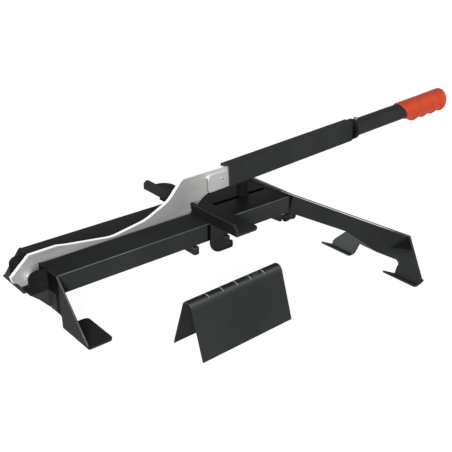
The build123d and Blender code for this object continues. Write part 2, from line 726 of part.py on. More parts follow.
# Fence hooks: plates under the flange whose notch takes the second tie's end; the rear one has a seat
HOOK_FLOOR = TIE_LOW - HOOK_FLOOR_GAP
NOTCH_LEFT = TIE_SECOND - TIE_WIDTH / 2 - HOOK_FLOOR_GAP
NOTCH_RIGHT = TIE_SECOND + TIE_WIDTH / 2 + HOOK_FLOOR_GAP
HOOK_RIGHT = FENCE_X + HOOK_LENGTH
for label, side in (("front_fence_hook", -1), ("rear_fence_hook", 1)):
    with BuildPart() as hook:
        with BuildSketch(front_view(side * (BEAM_OUT + HOOK_GAP + SHEET / 2))) as hook_sketch:
            with BuildLine():
                Polyline(
                    (FENCE_X, BEAM_TOP),
                    (FENCE_X, HOOK_LOW),
                    (HOOK_RIGHT, HOOK_LOW),
                    (HOOK_RIGHT, HOOK_TIP),
                    (NOTCH_RIGHT, HOOK_TIP),
                    (NOTCH_RIGHT, HOOK_FLOOR),
                    (NOTCH_LEFT, HOOK_FLOOR),
                    (NOTCH_LEFT, BEAM_TOP),
                    close=True,
                )
            make_face()
            fillet(hook_sketch.vertices().group_by(Axis.Y)[0].sort_by(Axis.X)[0], HOOK_CORNER)
            fillet(hook_sketch.vertices().group_by(Axis.X)[-1], HOOK_NOSE)
        extrude(amount=SHEET / 2, both=True)
        if side > 0:
            seat_inner = BEAM_OUT + HOOK_GAP
            with BuildSketch(top_view(BEAM_TOP - SHEET)):
                with Locations(((FENCE_X + NOTCH_LEFT) / 2, (seat_inner + SEAT_REACH) / 2)):
                    Rectangle(NOTCH_LEFT - FENCE_X, SEAT_REACH - seat_inner)
            extrude(amount=SHEET)
    save(hook, label)

# Cross ties: bars under both beams with their ends standing out
with BuildPart() as cross_ties:
    for tie_x in (TIE_FIRST, TIE_SECOND):
        with BuildSketch(top_view(TIE_LOW)):
            with Locations((tie_x, 0)):
                RectangleRounded(TIE_WIDTH, 2 * (BEAM_OUT + TIE_PROUD), TIE_CORNER)
        extrude(amount=TIE_HEIGHT)
save(cross_ties, "cross_ties")

# Bumper: the post that the closed handle rests on, held by a screw through the gap
POST_TOP = handle_point((POST_X - POST_RADIUS - HANDLE_X) / ALONG[0], -CHANNEL_HALF)[1] - SLIP
with BuildPart() as bumper:
    with BuildSketch(top_view(BEAM_TOP)):
        with Locations((POST_X, 0)):
            Circle(POST_RADIUS)
    extrude(amount=POST_TOP - BEAM_TOP)
    fillet(bumper.edges().sort_by(Axis.Z)[-1], POST_ROUND)
    with BuildSketch(top_view(BEAM_TOP)):
        with Locations((POST_X, 0)):
            Circle(POST_SCREW_RADIUS + FIT)
    extrude(amount=POST_BORE_DEPTH, mode=Mode.SUBTRACT)
save(bumper, "bumper")

# Strap: plate under the beams that the bumper's screw pulls against
STRAP_LOW = BEAM_LOW - SHEET
with BuildPart() as bumper_strap:
    with BuildSketch(top_view(STRAP_LOW)):
        with Locations((POST_X, 0)):
            Rectangle(STRAP_WIDTH, STRAP_LENGTH)
            Circle(POST_SCREW_RADIUS + FIT, mode=Mode.SUBTRACT)
    extrude(amount=SHEET)
save(bumper_strap, "bumper_strap")

# Bumper screw: hexagon head below the strap
with BuildPart() as bumper_screw:
    with BuildSketch(top_view(STRAP_LOW - POST_SCREW_HEAD)):
        with Locations((POST_X, 0)):
            RegularPolygon(POST_SCREW_HEAD_RADIUS, 6)
    extrude(amount=POST_SCREW_HEAD)
    with BuildSketch(top_view(STRAP_LOW)):
        with Locations((POST_X, 0)):
            Circle(POST_SCREW_RADIUS)
    extrude(amount=BEAM_TOP + POST_BORE_DEPTH - STRAP_LOW)
save(bumper_screw, "bumper_screw")

# Right end plate: closes the beams, with a bolt lug below each one
LUGS = ((-LUG_Y, LUG_Z), (LUG_Y, LUG_Z))
LUG_MIDDLES = [(y, (LUG_Z + BEAM_LOW) / 2) for y, _ in LUGS]
with BuildPart() as right_end_plate:
    with BuildSketch(end_view(BEAM_RIGHT)):
        with Locations((0, (BEAM_TOP + BEAM_LOW) / 2)):
            Rectangle(2 * BEAM_OUT, BEAM_HEIGHT)
        with Locations(*LUG_MIDDLES):
            Rectangle(2 * LUG_RADIUS, BEAM_LOW - LUG_Z)
        with Locations(*LUGS):
            Circle(LUG_RADIUS)
            Circle(BOLT_RADIUS + FIT, mode=Mode.SUBTRACT)
    extrude(amount=SHEET)
save(right_end_plate, "right_end_plate")

# Ears: small webs under the beams' right ends
with BuildPart() as end_ears:
    for side in (-1, 1):
        with BuildSketch(front_view(side * (BEAM_OUT - BEAM_CORNER - SHEET / 2))):
            with BuildLine():
                Polyline(
                    (BEAM_RIGHT - EAR_LENGTH, BEAM_LOW),
                    (BEAM_RIGHT - EAR_TOE, BEAM_LOW - EAR_DEPTH),
                    (BEAM_RIGHT - EAR_GAP, BEAM_LOW - EAR_DEPTH),
                    (BEAM_RIGHT - EAR_GAP, BEAM_LOW),
                    close=True,
                )
            make_face()
        extrude(amount=SHEET / 2, both=True)
save(end_ears, "end_ears")

# Right leg: flush with the end plate, then a skewed band whose apron leans out to two feet
SKEW = math.radians(LEG_SKEW)
LEAN = math.tan(math.radians(APRON_LEAN))
BAND_DIR = (math.sin(SKEW), -math.cos(SKEW), 0)
band_plane = Plane(
    (END_OUTER - MIDDLE_X, -BEAM_OUT - MIDDLE_Y, 0),
    x_dir=BAND_DIR,
    z_dir=(-math.cos(SKEW), -math.sin(SKEW), 0),
)
apron_plane = Plane(
    (APRON_FLOOR_X - MIDDLE_X, -MIDDLE_Y, 0),
    x_dir=(0, -1, 0),
    z_dir=(-1, 0, -LEAN),
)
APRON_SCALE = math.hypot(1, LEAN)


def band_s(y):
    """Distance along the skewed band at y."""
    return (-BEAM_OUT - y) / math.cos(SKEW)


def fold_z(y):
    """Height where band and apron meet at y."""
    return (APRON_OUT - band_s(y) * math.sin(SKEW)) / LEAN


def on_apron(y, z):
    """Apron coordinates of the point at y and height z."""
    return (-y, z * APRON_SCALE)


END_SLOPE = (LEG_TIP_Y - LEG_SHOULDER_Y) / (LEG_SHOULDER_Z - LEG_TIP_Z)
LEG_FOLD_Y = LEG_SHOULDER_Y + END_SLOPE * (LEG_SHOULDER_Z - fold_z(LEG_TIP_Y))
with BuildPart() as right_leg:
    with BuildSketch(end_view(END_OUTER)):
        with BuildLine():
            Polyline(
                (-BEAM_OUT, BEAM_LOW),
                (-BEAM_OUT, LEG_TOP),
                (BEAM_OUT, LEG_TOP),
                (FOOT_REACH, 0),
                (REAR_FOOT_HEEL, 0),
                (BEAM_OUT, BEAM_LOW - BEAM_OUT + LUG_Y),
                (LUG_Y, BEAM_LOW),
                close=True,
            )
        make_face()
        with Locations(*LUG_MIDDLES):
            Rectangle(2 * LUG_RADIUS, BEAM_LOW - LUG_Z)
        with Locations(*LUGS):
            Circle(LUG_RADIUS)
            Circle(BOLT_RADIUS + FIT, mode=Mode.SUBTRACT)
    extrude(amount=LEG_SHEET)
    with BuildSketch(band_plane):
        with BuildLine():
            Polyline(
                (0, BEAM_LOW),
                (0, LEG_TOP),
                (band_s(LEG_SHOULDER_Y), LEG_SHOULDER_Z),
                (band_s(LEG_FOLD_Y), fold_z(LEG_FOLD_Y)),
                (band_s(APRON_START_Y), fold_z(APRON_START_Y)),
                close=True,
            )
        make_face()
    extrude(amount=-LEG_SHEET)
    with BuildSketch(apron_plane):
        with BuildLine():
            Polyline(
                on_apron(APRON_START_Y, fold_z(APRON_START_Y)),
                on_apron(LEG_FOLD_Y, fold_z(LEG_FOLD_Y)),
                on_apron(LEG_TIP_Y, LEG_TIP_Z),
                on_apron(END_FOOT_FRONT, 0),
                on_apron(MID_FOOT_REAR, 0),
                on_apron(*MID_FOOT_KNEE),
                close=True,
            )
        make_face()
    extrude(amount=-LEG_SHEET)
    with BuildSketch(end_view(APRON_FLOOR_X)) as arch_sketch:
        with BuildLine():
            Polyline(
                (END_FOOT_REAR, 0),
                LEG_ARCH_FRONT,
                LEG_ARCH_REAR,
                (MID_FOOT_FRONT, 0),
                close=True,
            )
        make_face()
        fillet(arch_sketch.vertices().sort_by(Axis.X)[0], LEG_ARCH_FRONT_CORNER)
        fillet(arch_sketch.vertices().sort_by(Axis.Y)[-1], LEG_ARCH_REAR_CORNER)
    extrude(amount=APRON_OUT, both=True, mode=Mode.SUBTRACT)
    for rear, front in ((MID_FOOT_REAR, MID_FOOT_FRONT), (END_FOOT_REAR, END_FOOT_FRONT)):
        with BuildSketch(top_view(0)) as tab_sketch:
            with BuildLine():
                Polyline(
                    (APRON_FLOOR_X, rear),
                    (APRON_FLOOR_X - LEG_TAB, rear + LEG_TONGUE),
                    (APRON_FLOOR_X - LEG_TAB, front),
                    (APRON_FLOOR_X, front),
                    close=True,
                )
            make_face()
            near = tab_sketch.vertices().group_by(Axis.X)[0].sort_by(Axis.Y)
            fillet(near[0], LEG_TAB_CORNER)
        extrude(amount=SHEET)
    with BuildSketch(top_view(0)) as rear_tab_sketch:
        with Locations((LEG_OUTER - REAR_TAB / 2, (FOOT_REACH + REAR_FOOT_HEEL) / 2)):
            Rectangle(REAR_TAB, FOOT_REACH - REAR_FOOT_HEEL)
        fillet(rear_tab_sketch.vertices().group_by(Axis.X)[0], FOOT_CORNER)
    extrude(amount=SHEET)
save(right_leg, "right_leg")

# Leg bolts and nuts: hold the leg against the end plate
with BuildPart() as leg_bolts:
    with BuildSketch(end_view(BEAM_RIGHT - BOLT_HEAD)):
        with Locations(*LUGS):
            Circle(BOLT_HEAD_RADIUS)
    extrude(amount=BOLT_HEAD)
    with BuildSketch(end_view(BEAM_RIGHT)):
        with Locations(*LUGS):
            Circle(BOLT_RADIUS)
    extrude(amount=LEG_OUTER + NUT_HEIGHT + BOLT_PROUD - BEAM_RIGHT)
save(leg_bolts, "leg_bolts")

with BuildPart() as leg_nuts:
    with BuildSketch(end_view(LEG_OUTER)):
        with Locations(*LUGS):
            RegularPolygon(NUT_RADIUS, 6)
            Circle(BOLT_RADIUS + FIT, mode=Mode.SUBTRACT)
    extrude(amount=NUT_HEIGHT)
save(leg_nuts, "leg_nuts")


def v_profile(half, radius, top):
    """Foot, tangent point and crown of one side of the folded support."""
    reach = math.hypot(half, top - radius)
    angle = math.atan2(top - radius, half) + math.asin(radius / reach)
    run = math.sqrt(reach**2 - radius**2)
    return (-half, 0), (-half + run * math.cos(angle), run * math.sin(angle)), angle


# V support: sheet folded over a round ridge with narrow slits across it
V_FOOT, V_TANGENT, V_ANGLE = v_profile(V_HALF, V_RADIUS, V_TOP)
V_MIDDLE_X = V_LEFT + V_LENGTH / 2
TURN = math.radians(V_TURN)
support_end = Plane(
    (V_MIDDLE_X - MIDDLE_X, V_MIDDLE - MIDDLE_Y, 0),
    x_dir=(-math.sin(TURN), math.cos(TURN), 0),
    z_dir=(math.cos(TURN), math.sin(TURN), 0),
)
support_top = Plane(
    (V_MIDDLE_X - MIDDLE_X, V_MIDDLE - MIDDLE_Y, V_TOP - V_RADIUS),
    x_dir=(math.cos(TURN), math.sin(TURN), 0),
    z_dir=(0, 0, 1),
)
V_INNER = v_profile(V_HALF - V_SHEET / math.sin(V_ANGLE), V_RADIUS - V_SHEET, V_TOP - V_SHEET)
with BuildPart() as v_support:
    with BuildSketch(support_end):
        for foot, tangent, crown, mode in (
            (V_FOOT, V_TANGENT, V_TOP, Mode.ADD),
            (V_INNER[0], V_INNER[1], V_TOP - V_SHEET, Mode.SUBTRACT),
        ):
            with BuildLine():
                Line(foot, tangent)
                ThreePointArc(tangent, (0, crown), (-tangent[0], tangent[1]))
                Line((-tangent[0], tangent[1]), (-foot[0], 0))
                Line((-foot[0], 0), foot)
            make_face(mode=mode)
    extrude(amount=V_LENGTH / 2, both=True)
    with BuildSketch(support_top):
        for i in range(SLIT_COUNT):
            with Locations(((i - (SLIT_COUNT - 1) / 2) * SLIT_PITCH, 0)):
                Rectangle(SLIT_WIDTH, 2 * SLIT_REACH)
    extrude(amount=2 * V_RADIUS, mode=Mode.SUBTRACT)
save(v_support, "v_support")
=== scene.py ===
"""Laminate flooring cutter: finishes, fasteners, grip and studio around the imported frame."""

import json
import math

import bmesh
import bpy
from bpy.props import FloatProperty, FloatVectorProperty, IntProperty, PointerProperty
from mathutils import Matrix, Vector

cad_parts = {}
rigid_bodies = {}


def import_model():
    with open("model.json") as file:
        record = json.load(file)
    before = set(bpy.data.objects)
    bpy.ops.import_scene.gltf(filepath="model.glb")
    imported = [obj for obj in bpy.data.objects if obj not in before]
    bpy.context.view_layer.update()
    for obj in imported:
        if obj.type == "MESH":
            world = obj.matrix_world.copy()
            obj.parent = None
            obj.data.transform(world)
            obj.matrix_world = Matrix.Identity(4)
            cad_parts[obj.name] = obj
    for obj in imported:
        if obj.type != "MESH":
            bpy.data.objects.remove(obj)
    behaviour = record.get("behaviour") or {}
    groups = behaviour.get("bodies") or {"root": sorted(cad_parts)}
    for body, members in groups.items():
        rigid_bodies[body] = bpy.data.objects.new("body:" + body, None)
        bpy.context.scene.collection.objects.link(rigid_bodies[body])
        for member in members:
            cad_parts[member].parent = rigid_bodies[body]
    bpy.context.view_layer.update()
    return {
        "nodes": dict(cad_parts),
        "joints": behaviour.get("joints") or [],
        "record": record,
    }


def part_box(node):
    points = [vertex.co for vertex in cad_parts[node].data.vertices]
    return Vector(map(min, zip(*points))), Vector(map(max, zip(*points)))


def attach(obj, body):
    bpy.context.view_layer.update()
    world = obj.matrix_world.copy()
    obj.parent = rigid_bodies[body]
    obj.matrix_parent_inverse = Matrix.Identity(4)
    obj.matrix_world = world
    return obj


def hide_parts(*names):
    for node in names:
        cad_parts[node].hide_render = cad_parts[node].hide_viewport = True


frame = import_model()

bl_info = {
    "name": "Laminate Flooring Cutter",
    "version": (1, 0, 0),
    "blender": (4, 5, 0),
    "location": "View3D > Sidebar > Cutter",
    "description": "Dresses the cutter's frame, blade, handle, support and studio",
    "category": "Object",
}

# Directions: the beams run along X from the pivot at the left, and the rear is at +Y
RIGHT, REAR, UP = Vector((1, 0, 0)), Vector((0, 1, 0)), Vector((0, 0, 1))
LEFT, FRONT, DOWN = -RIGHT, -REAR, -UP
JOINTS = {joint["name"]: joint for joint in frame["joints"]}
HANDLE_ALONG = Vector(JOINTS["handle_pull"]["axis"]).normalized()
HANDLE_ABOVE = -Vector(JOINTS["button_press"]["axis"]).normalized()

# Mesh work and shaping, in metres and degrees
MERGE_DISTANCE = 2e-6
SEAM_DISTANCE = 1e-6
FLAT_ANGLE = 0.4
ROUND_FROM_ANGLE = 32
ROUND_SEGMENTS = 2
FASTENER_ANGLE = 35
RIM_LEAN = 28

# Range that most of a noise lies in
NOISE_SPAN = (0.3, 0.7)

# Where painted light and shade change over a piece, in metres along a direction
BEAM_SPAN = (-0.37, 0.0)
FENCE_TO_SHADOW = (-0.13, -0.1)
HOOK_SHADOW_LINE = (-0.1503, -0.146)
RIGHT_OF_HOOK = (-0.146, 0.0)
BRACKET_SPAN = (0.0235, 0.1296)
BRACKET_SHELF = (0.042, 0.043)
BLADE_SPAN = (-0.4, -0.1)
COLLAR_SPAN = (0.17, 0.181)
RIDGE_SPAN = (0.058, 0.0658)
RIM_FRONT = (-0.145, -0.118)
RIM_ACROSS = (0.004, 0.009)
LEG_SPAN = (-0.165, 0.03)
LEG_CORNER = (0.0375, 0.06)
LEG_PATCH = (-0.068, -0.0625)
LEG_LOW_PART = (0.0, 0.013)
LEG_LOW_EDGE = (0.0115, 0.013)

# Slanted directions on the right leg
THROUGH_LEG = (0.99167, 0.1288, 0)
ACROSS_LEG_CORNER = (0, 0.973, 0.229)
ACROSS_LEG_PATCH = (0, 0.7, 0.71)
ABOVE_LEG_EDGE = (0, 0.231, 1)

# Made pieces, in metres
SIDE_BAR_ROUND = 0.0012
LEG_BOLT_HEAD = 0.006
CROSS_SCREW_RADIUS = 0.004
BUMPER_SCREW_HEAD = 0.0035
GRIP_END_INSET = 0.0007

# Points round the fasteners
HEXAGON = 6
ROUND_HEAD = 40
ROUND_SHANK = 24
NUT_CONE = 48
NUT_BORE = 32
THREAD_TURN = 20
THREAD_PROFILE = 4

# Shares: of the pitch, of the bolts' pitch, of the head's height and of the grip's radius
THREAD_RIDGE = 0.3
FINE_THREAD = 0.8
SLOT_START = -0.3
GRIP_OVAL = 1.03

# Studio, in metres, degrees, millimetres of lens and watts
CAMERA_AT = (-0.717478, -0.69595, 0.5)
CAMERA_TURN = 50.408
CAMERA_PITCH = 25.244
CAMERA_LENS = 61.49
CAMERA_REACH = 60.0
FLOOR_REACH = 14.0
FLOOR_GREY = 0.3
FLOOR_GLOW = 0.93
WORLD_FILL = 0.07
LAMP_AIM = Vector((0.0, 0.0, 0.06))
LAMP_DISTANCE = 4.0
LAMP_SIZE = 2.2
LAMPS = {
    "key": ((-0.66, -0.7, 0.25), 194.0),
    "back": ((-0.1, 0.97, 0.12), 55.0),
    "right": ((0.97, -0.1, 0.12), 55.0),
}


class CutterSizes(bpy.types.PropertyGroup):
    """Sizes of the finishing work"""

    edge_round: FloatProperty(
        name="Edge rounding", description="Rounding of the frame's cut edges",
        default=0.0005, unit="LENGTH",
    )
    fine_round: FloatProperty(
        name="Fine rounding", description="Finer rounding of the blade, handle and support",
        default=0.0003, unit="LENGTH",
    )
    thread_pitch: FloatProperty(
        name="Thread pitch", description="Pitch of the bolts' threads",
        default=0.001, unit="LENGTH",
    )
    grip_length: FloatProperty(
        name="Grip length", description="Grip from its start to its end",
        default=0.1195, unit="LENGTH",
    )
    grip_thin: FloatProperty(
        name="Grip thin", description="Radius at the grip's start",
        default=0.0152, unit="LENGTH",
    )
    grip_thick: FloatProperty(
        name="Grip thick", description="Radius at the grip's end",
        default=0.01619, unit="LENGTH",
    )
    grip_groove: FloatProperty(
        name="Groove depth", description="Depth under the axis at a finger groove",
        default=0.0197, unit="LENGTH",
    )
    grip_bump: FloatProperty(
        name="Bump depth", description="Depth under the axis at a finger bump",
        default=0.0235, unit="LENGTH",
    )
    bump_pitch: FloatProperty(
        name="Bump pitch", description="Distance between finger bumps",
        default=0.024, unit="LENGTH",
    )
    bump_first: FloatProperty(
        name="First bump", description="First bump from the grip's start",
        default=0.0395, unit="LENGTH",
    )
    grip_rows: IntProperty(
        name="Grip rows", description="Rings along the grip",
        default=170, min=20,
    )
    grip_segments: IntProperty(
        name="Grip segments", description="Points round the grip",
        default=72, min=12,
    )


class CutterFinishes(bpy.types.PropertyGroup):
    """Colours of the finishes"""

    coat: FloatVectorProperty(
        name="Powder coat", description="Black coat on the steel frame",
        subtype="COLOR", default=(0.0305, 0.0342, 0.033),
    )
    # Lighter colour of cut edges, a painted highlight
    edge_highlight_coat: FloatVectorProperty(
        name="Painted edge highlight", description="Thin coat over a cut edge",
        subtype="COLOR", default=(0.09, 0.095, 0.093),
    )
    # Colour of the painted highlight on the leg's cut rim
    rim: FloatVectorProperty(
        name="Painted rim highlight", description="Cut rim of the leg",
        subtype="COLOR", default=(0.85, 0.85, 0.85),
    )
    dull: FloatVectorProperty(
        name="Dull coat", description="Deep black coat of brackets, hooks and bolts",
        subtype="COLOR", default=(0.011, 0.011, 0.011),
    )
    blade: FloatVectorProperty(
        name="Blade", description="Brushed side of the blade",
        subtype="COLOR", default=(0.51, 0.51, 0.5),
    )
    ground: FloatVectorProperty(
        name="Ground edge", description="Bright edges of the blade",
        subtype="COLOR", default=(0.95, 0.95, 0.94),
    )
    zinc: FloatVectorProperty(
        name="Zinc", description="Bright turned pieces",
        subtype="COLOR", default=(0.78, 0.78, 0.77),
    )
    oxide: FloatVectorProperty(
        name="Black oxide", description="Screws and the button's spring",
        subtype="COLOR", default=(0.03, 0.03, 0.031),
    )
    rubber: FloatVectorProperty(
        name="Rubber", description="Bumper under the handle",
        subtype="COLOR", default=(0.005, 0.005, 0.005),
    )
    grip: FloatVectorProperty(
        name="Grip", description="Moulded grip",
        subtype="COLOR", default=(0.71, 0.067, 0.018),
    )
    button: FloatVectorProperty(
        name="Button", description="Polished lock button",
        subtype="COLOR", default=(0.2, 0.2, 0.205),
    )


def sizes():
    """The sizes set in the sidebar."""
    return bpy.context.scene.cutter_sizes


def finishes():
    """The colours set in the sidebar."""
    return bpy.context.scene.cutter_finishes


# Material building
def grey(amount):
    """A plain grey."""
    return (amount, amount, amount, 1.0)


def shade(colour, factor):
    """A colour made lighter or darker."""
    return (colour[0] * factor, colour[1] * factor, colour[2] * factor, 1.0)


def grain(tree, scale, detail=2.0, roughness=0.5):
    """Noise over object coordinates, with one scale or one for each axis."""
    place = tree.nodes.new("ShaderNodeTexCoord")
    mapping = tree.nodes.new("ShaderNodeMapping")
    mapping.inputs["Scale"].default_value = scale if isinstance(scale, tuple) else (scale,) * 3
    tree.links.new(place.outputs["Object"], mapping.inputs["Vector"])
    noise = tree.nodes.new("ShaderNodeTexNoise")
    noise.inputs["Scale"].default_value = 1.0
    noise.inputs["Detail"].default_value = detail
    noise.inputs["Roughness"].default_value = roughness
    tree.links.new(mapping.outputs["Vector"], noise.inputs["Vector"])
    return noise.outputs["Fac"]


def ramp(tree, factor, stops):
    """Colour ramp from (position, colour) stops."""
    node = tree.nodes.new("ShaderNodeValToRGB")
    elements = node.color_ramp.elements
    while len(elements) < len(stops):
        elements.new(0.5)
    for element, (position, colour) in zip(elements, stops):
        element.position = position
        element.color = colour
    tree.links.new(factor, node.inputs["Fac"])
    return node.outputs["Color"]


def carried(tree, value, from_low, from_high, to_low=0.0, to_high=1.0):
    """A value carried from one range to another and held at its ends."""
    node = tree.nodes.new("ShaderNodeMapRange")
    ends = {"From Min": from_low, "From Max": from_high, "To Min": to_low, "To Max": to_high}
    for name, end in ends.items():
        node.inputs[name].default_value = end
    tree.links.new(value, node.inputs["Value"])
    return node.outputs["Result"]


def blend(tree, kind, first, second):
    """Two colours blended in full."""
    mix = tree.nodes.new("ShaderNodeMix")
    mix.data_type = "RGBA"
    mix.blend_type = kind
    mix.inputs["Factor"].default_value = 1.0
    tree.links.new(first, mix.inputs["A"])
    tree.links.new(second, mix.inputs["B"])
    return mix.outputs["Result"]


class Cloud:
    """Greys over a noise, as (place, grey) stops."""

    def __init__(self, pattern, greys):
        self.pattern = pattern
        self.stops = [(place, grey(amount)) for place, amount in greys]

    def colour(self, tree):
        """The greys in a material's tree."""
        return ramp(tree, grain(tree, *self.pattern), self.stops)


class Fade:
    """Greys along a direction of the object, as (place, grey) stops over a span.

    Where a second fade is given with unless, the lighter of the two holds.
    """

    def __init__(self, direction, span, greys, unless=None):
        self.direction = direction
        self.span = span
        self.stops = [(place, grey(amount)) for place, amount in greys]
        self.unless = unless

    def colour(self, tree):
        """The greys in a material's tree."""
        place = tree.nodes.new("ShaderNodeTexCoord")
        reach = tree.nodes.new("ShaderNodeVectorMath")
        reach.operation = "DOT_PRODUCT"
        tree.links.new(place.outputs["Object"], reach.inputs[0])
        reach.inputs[1].default_value = self.direction
        here = ramp(tree, carried(tree, reach.outputs["Value"], *self.span), self.stops)
        if self.unless is None:
            return here
        return blend(tree, "LIGHTEN", here, self.unless.colour(tree))


def surface(name, colour, pattern, tones, roughness, gloss, relief=None, layers=()):
    """A procedural finish, made once for each name.

    pattern: scale, detail and roughness of the noise under it
    tones: (place, factor) stops over the noise, which shade the colour
    roughness: values at the noise's low and high end
    gloss: settings of the shader's own sockets
    relief: scale of the bumps, or None for the noise itself, then strength and distance
    layers: clouds and fades that the colour is multiplied by
    """
    if name in bpy.data.materials:
        return bpy.data.materials[name]
    material = bpy.data.materials.new(name)
    material.use_nodes = True
    tree = material.node_tree
    shader = tree.nodes["Principled BSDF"]
    noise = grain(tree, *pattern)
    base = ramp(tree, noise, [(place, shade(colour, factor)) for place, factor in tones])
    for layer in layers:
        base = blend(tree, "MULTIPLY", base, layer.colour(tree))
    tree.links.new(base, shader.inputs["Base Color"])
    tree.links.new(carried(tree, noise, *NOISE_SPAN, *roughness), shader.inputs["Roughness"])
    for socket, value in gloss.items():
        shader.inputs[socket].default_value = value
    if relief is not None:
        scale, strength, distance = relief
        bump = tree.nodes.new("ShaderNodeBump")
        bump.inputs["Strength"].default_value = strength
        bump.inputs["Distance"].default_value = distance
        tree.links.new(noise if scale is None else grain(tree, scale), bump.inputs["Height"])
        tree.links.new(bump.outputs["Normal"], shader.inputs["Normal"])
    return material


# Finishes of the cutter
def powder_coat(lift=1.0, name="powder_coat", *layers):
    """Satin black coat with orange peel and faint cloudiness."""
    return surface(
        name, shade(finishes().coat, lift), pattern=(14, 3.0), tones=[(0.35, 0.88), (0.65, 1.1)],
        roughness=(0.46, 0.58), gloss={"Specular IOR Level": 0.025}, relief=(900, 0.12, 0.0003),
        layers=layers,
    )


def edge_highlight_coat(name="edge_highlight_coat", *layers):
    """Coat over a cut edge: lighter than the coat as a painted highlight, smoother, with lighter
    spots at random.
    """
    return surface(
        name, finishes().edge_highlight_coat, pattern=(55, 4.0, 0.65),
        tones=[(0.35, 0.6), (0.56, 1.0), (0.72, 2.0)], roughness=(0.42, 0.3),
        gloss={"Specular IOR Level": 0.5}, relief=(700, 0.1, 0.0002), layers=layers,
    )


def rim_painted_highlight():
    """Painted highlight on the leg's cut rim, light like bare steel but for its front end and its
    right half.
    """
    return surface(
        "rim_painted_highlight", finishes().rim, pattern=((40, 40, 200), 4.0, 0.6),
        tones=[(0.3, 0.85), (0.6, 1.0), (0.75, 1.1)], roughness=(0.5, 0.38),
        gloss={"Metallic": 0.6}, relief=(700, 0.1, 0.0002),
        layers=[
            Fade(REAR, RIM_FRONT, [(0.0, 0.04), (1.0, 1.0)]),
            Fade(THROUGH_LEG, RIM_ACROSS, [(0.0, 1.0), (0.48, 1.0), (0.58, 0.03)]),
        ],
    )


def dull_coat(depth=1.0):
    """Deep black coat without gloss, lighter with a higher depth."""
    return surface(
        "dull_coat_%d" % round(100 * depth), shade(finishes().dull, depth), pattern=(60, 3.0),
        tones=[(0.35, 0.85), (0.66, 1.2)], roughness=(0.6, 0.72),
        gloss={"Specular IOR Level": 0.02}, relief=(900, 0.12, 0.0003),
    )


def brushed_blade(lift=1.0):
    """Rolled and brushed steel, lines along the blade, darker over its low part as painted shade.
    """
    return surface(
        "brushed_blade_%d" % round(100 * lift), shade(finishes().blade, lift),
        pattern=((22, 400, 1500), 3.0, 0.6), tones=[(0.3, 0.86), (0.7, 1.12)],
        roughness=(0.44, 0.58), gloss={"Metallic": 0.3}, relief=(None, 0.1, 0.0001),
        layers=[
            Cloud(((16, 16, 26), 3.0), [(0.3, 0.86), (0.7, 1.0)]),
            Fade(RIGHT, BLADE_SPAN, [
                (0.0, 0.86), (0.15, 0.86), (0.4, 0.76), (0.8, 0.76), (0.97, 1.0),
            ]),
        ],
    )


def ground_edge():
    """Freshly ground steel, lines across the edge."""
    return surface(
        "ground_edge", finishes().ground, pattern=((1800, 300, 40), 2.0, 0.6),
        tones=[(0.3, 0.9), (0.7, 1.1)], roughness=(0.24, 0.36),
        gloss={"Metallic": 1.0}, relief=(None, 0.08, 0.0001),
    )


def bright_zinc():
    """Turned and zinc plated steel, faint rings."""
    return surface(
        "bright_zinc", finishes().zinc, pattern=((60, 1400, 60), 2.0),
        tones=[(0.3, 0.9), (0.7, 1.08)], roughness=(0.2, 0.34),
        gloss={"Metallic": 1.0}, relief=(None, 0.06, 0.0001),
    )


def black_oxide():
    """Oiled black fasteners and spring."""
    return surface(
        "black_oxide", finishes().oxide, pattern=(160, 3.0), tones=[(0.35, 0.7), (0.68, 1.5)],
        roughness=(0.32, 0.48), gloss={"Metallic": 0.7}, relief=(1200, 0.08, 0.0001),
    )


def moulded_rubber():
    """Matt moulded rubber."""
    return surface(
        "moulded_rubber", finishes().rubber, pattern=(90, 3.0), tones=[(0.35, 0.8), (0.68, 1.4)],
        roughness=(0.68, 0.82), gloss={"Specular IOR Level": 0.08}, relief=(1500, 0.15, 0.0002),
    )


def soft_grip():
    """Soft moulded plastic with a fine matt texture."""
    return surface(
        "soft_grip", finishes().grip, pattern=(40, 3.0), tones=[(0.32, 0.9), (0.68, 1.08)],
        roughness=(0.44, 0.56), gloss={"Specular IOR Level": 0.18}, relief=(1100, 0.12, 0.0002),
    )


def polished_button():
    """Polished metal of the lock button."""
    return surface(
        "polished_button", finishes().button, pattern=(300, 2.0), tones=[(0.3, 0.94), (0.7, 1.05)],
        roughness=(0.1, 0.18), gloss={"Metallic": 1.0},
    )


# Places and pieces
def node_box(node):
    """Lowest and highest corner of a node."""
    low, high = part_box(node)
    return Vector(low), Vector(high)


def node_middle(node):
    """Middle of a node's box."""
    low, high = node_box(node)
    return (low + high) / 2


def placed(origin, x_axis, z_axis):
    """A place at a point, with X and Z along two directions."""
    turn = Matrix((x_axis, z_axis.cross(x_axis), z_axis)).transposed().to_4x4()
    return Matrix.Translation(origin) @ turn


def add_object(name, data):
    """Link a new object at the origin."""
    piece = bpy.data.objects.new(name, data)
    bpy.context.scene.collection.objects.link(piece)
    return piece


def settle(piece):
    """Turn a piece's modifiers into a plain mesh."""
    bpy.context.view_layer.update()
    graph = bpy.context.evaluated_depsgraph_get()
    mesh = bpy.data.meshes.new_from_object(
        piece.evaluated_get(graph), preserve_all_data_layers=True, depsgraph=graph
    )
    piece.modifiers.clear()
    old = piece.data
    piece.data = mesh
    bpy.data.meshes.remove(old)


def node_body(node):
    """The body that a node belongs to."""
    for body, nodes in frame["record"]["behaviour"]["bodies"].items():
        if node in nodes:
            return body
    raise RuntimeError("no body holds " + node)


def stand_for(piece, node):
    """Let a piece take a node's place and body, and hide the node."""
    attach(piece, node_body(node))
    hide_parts(node)


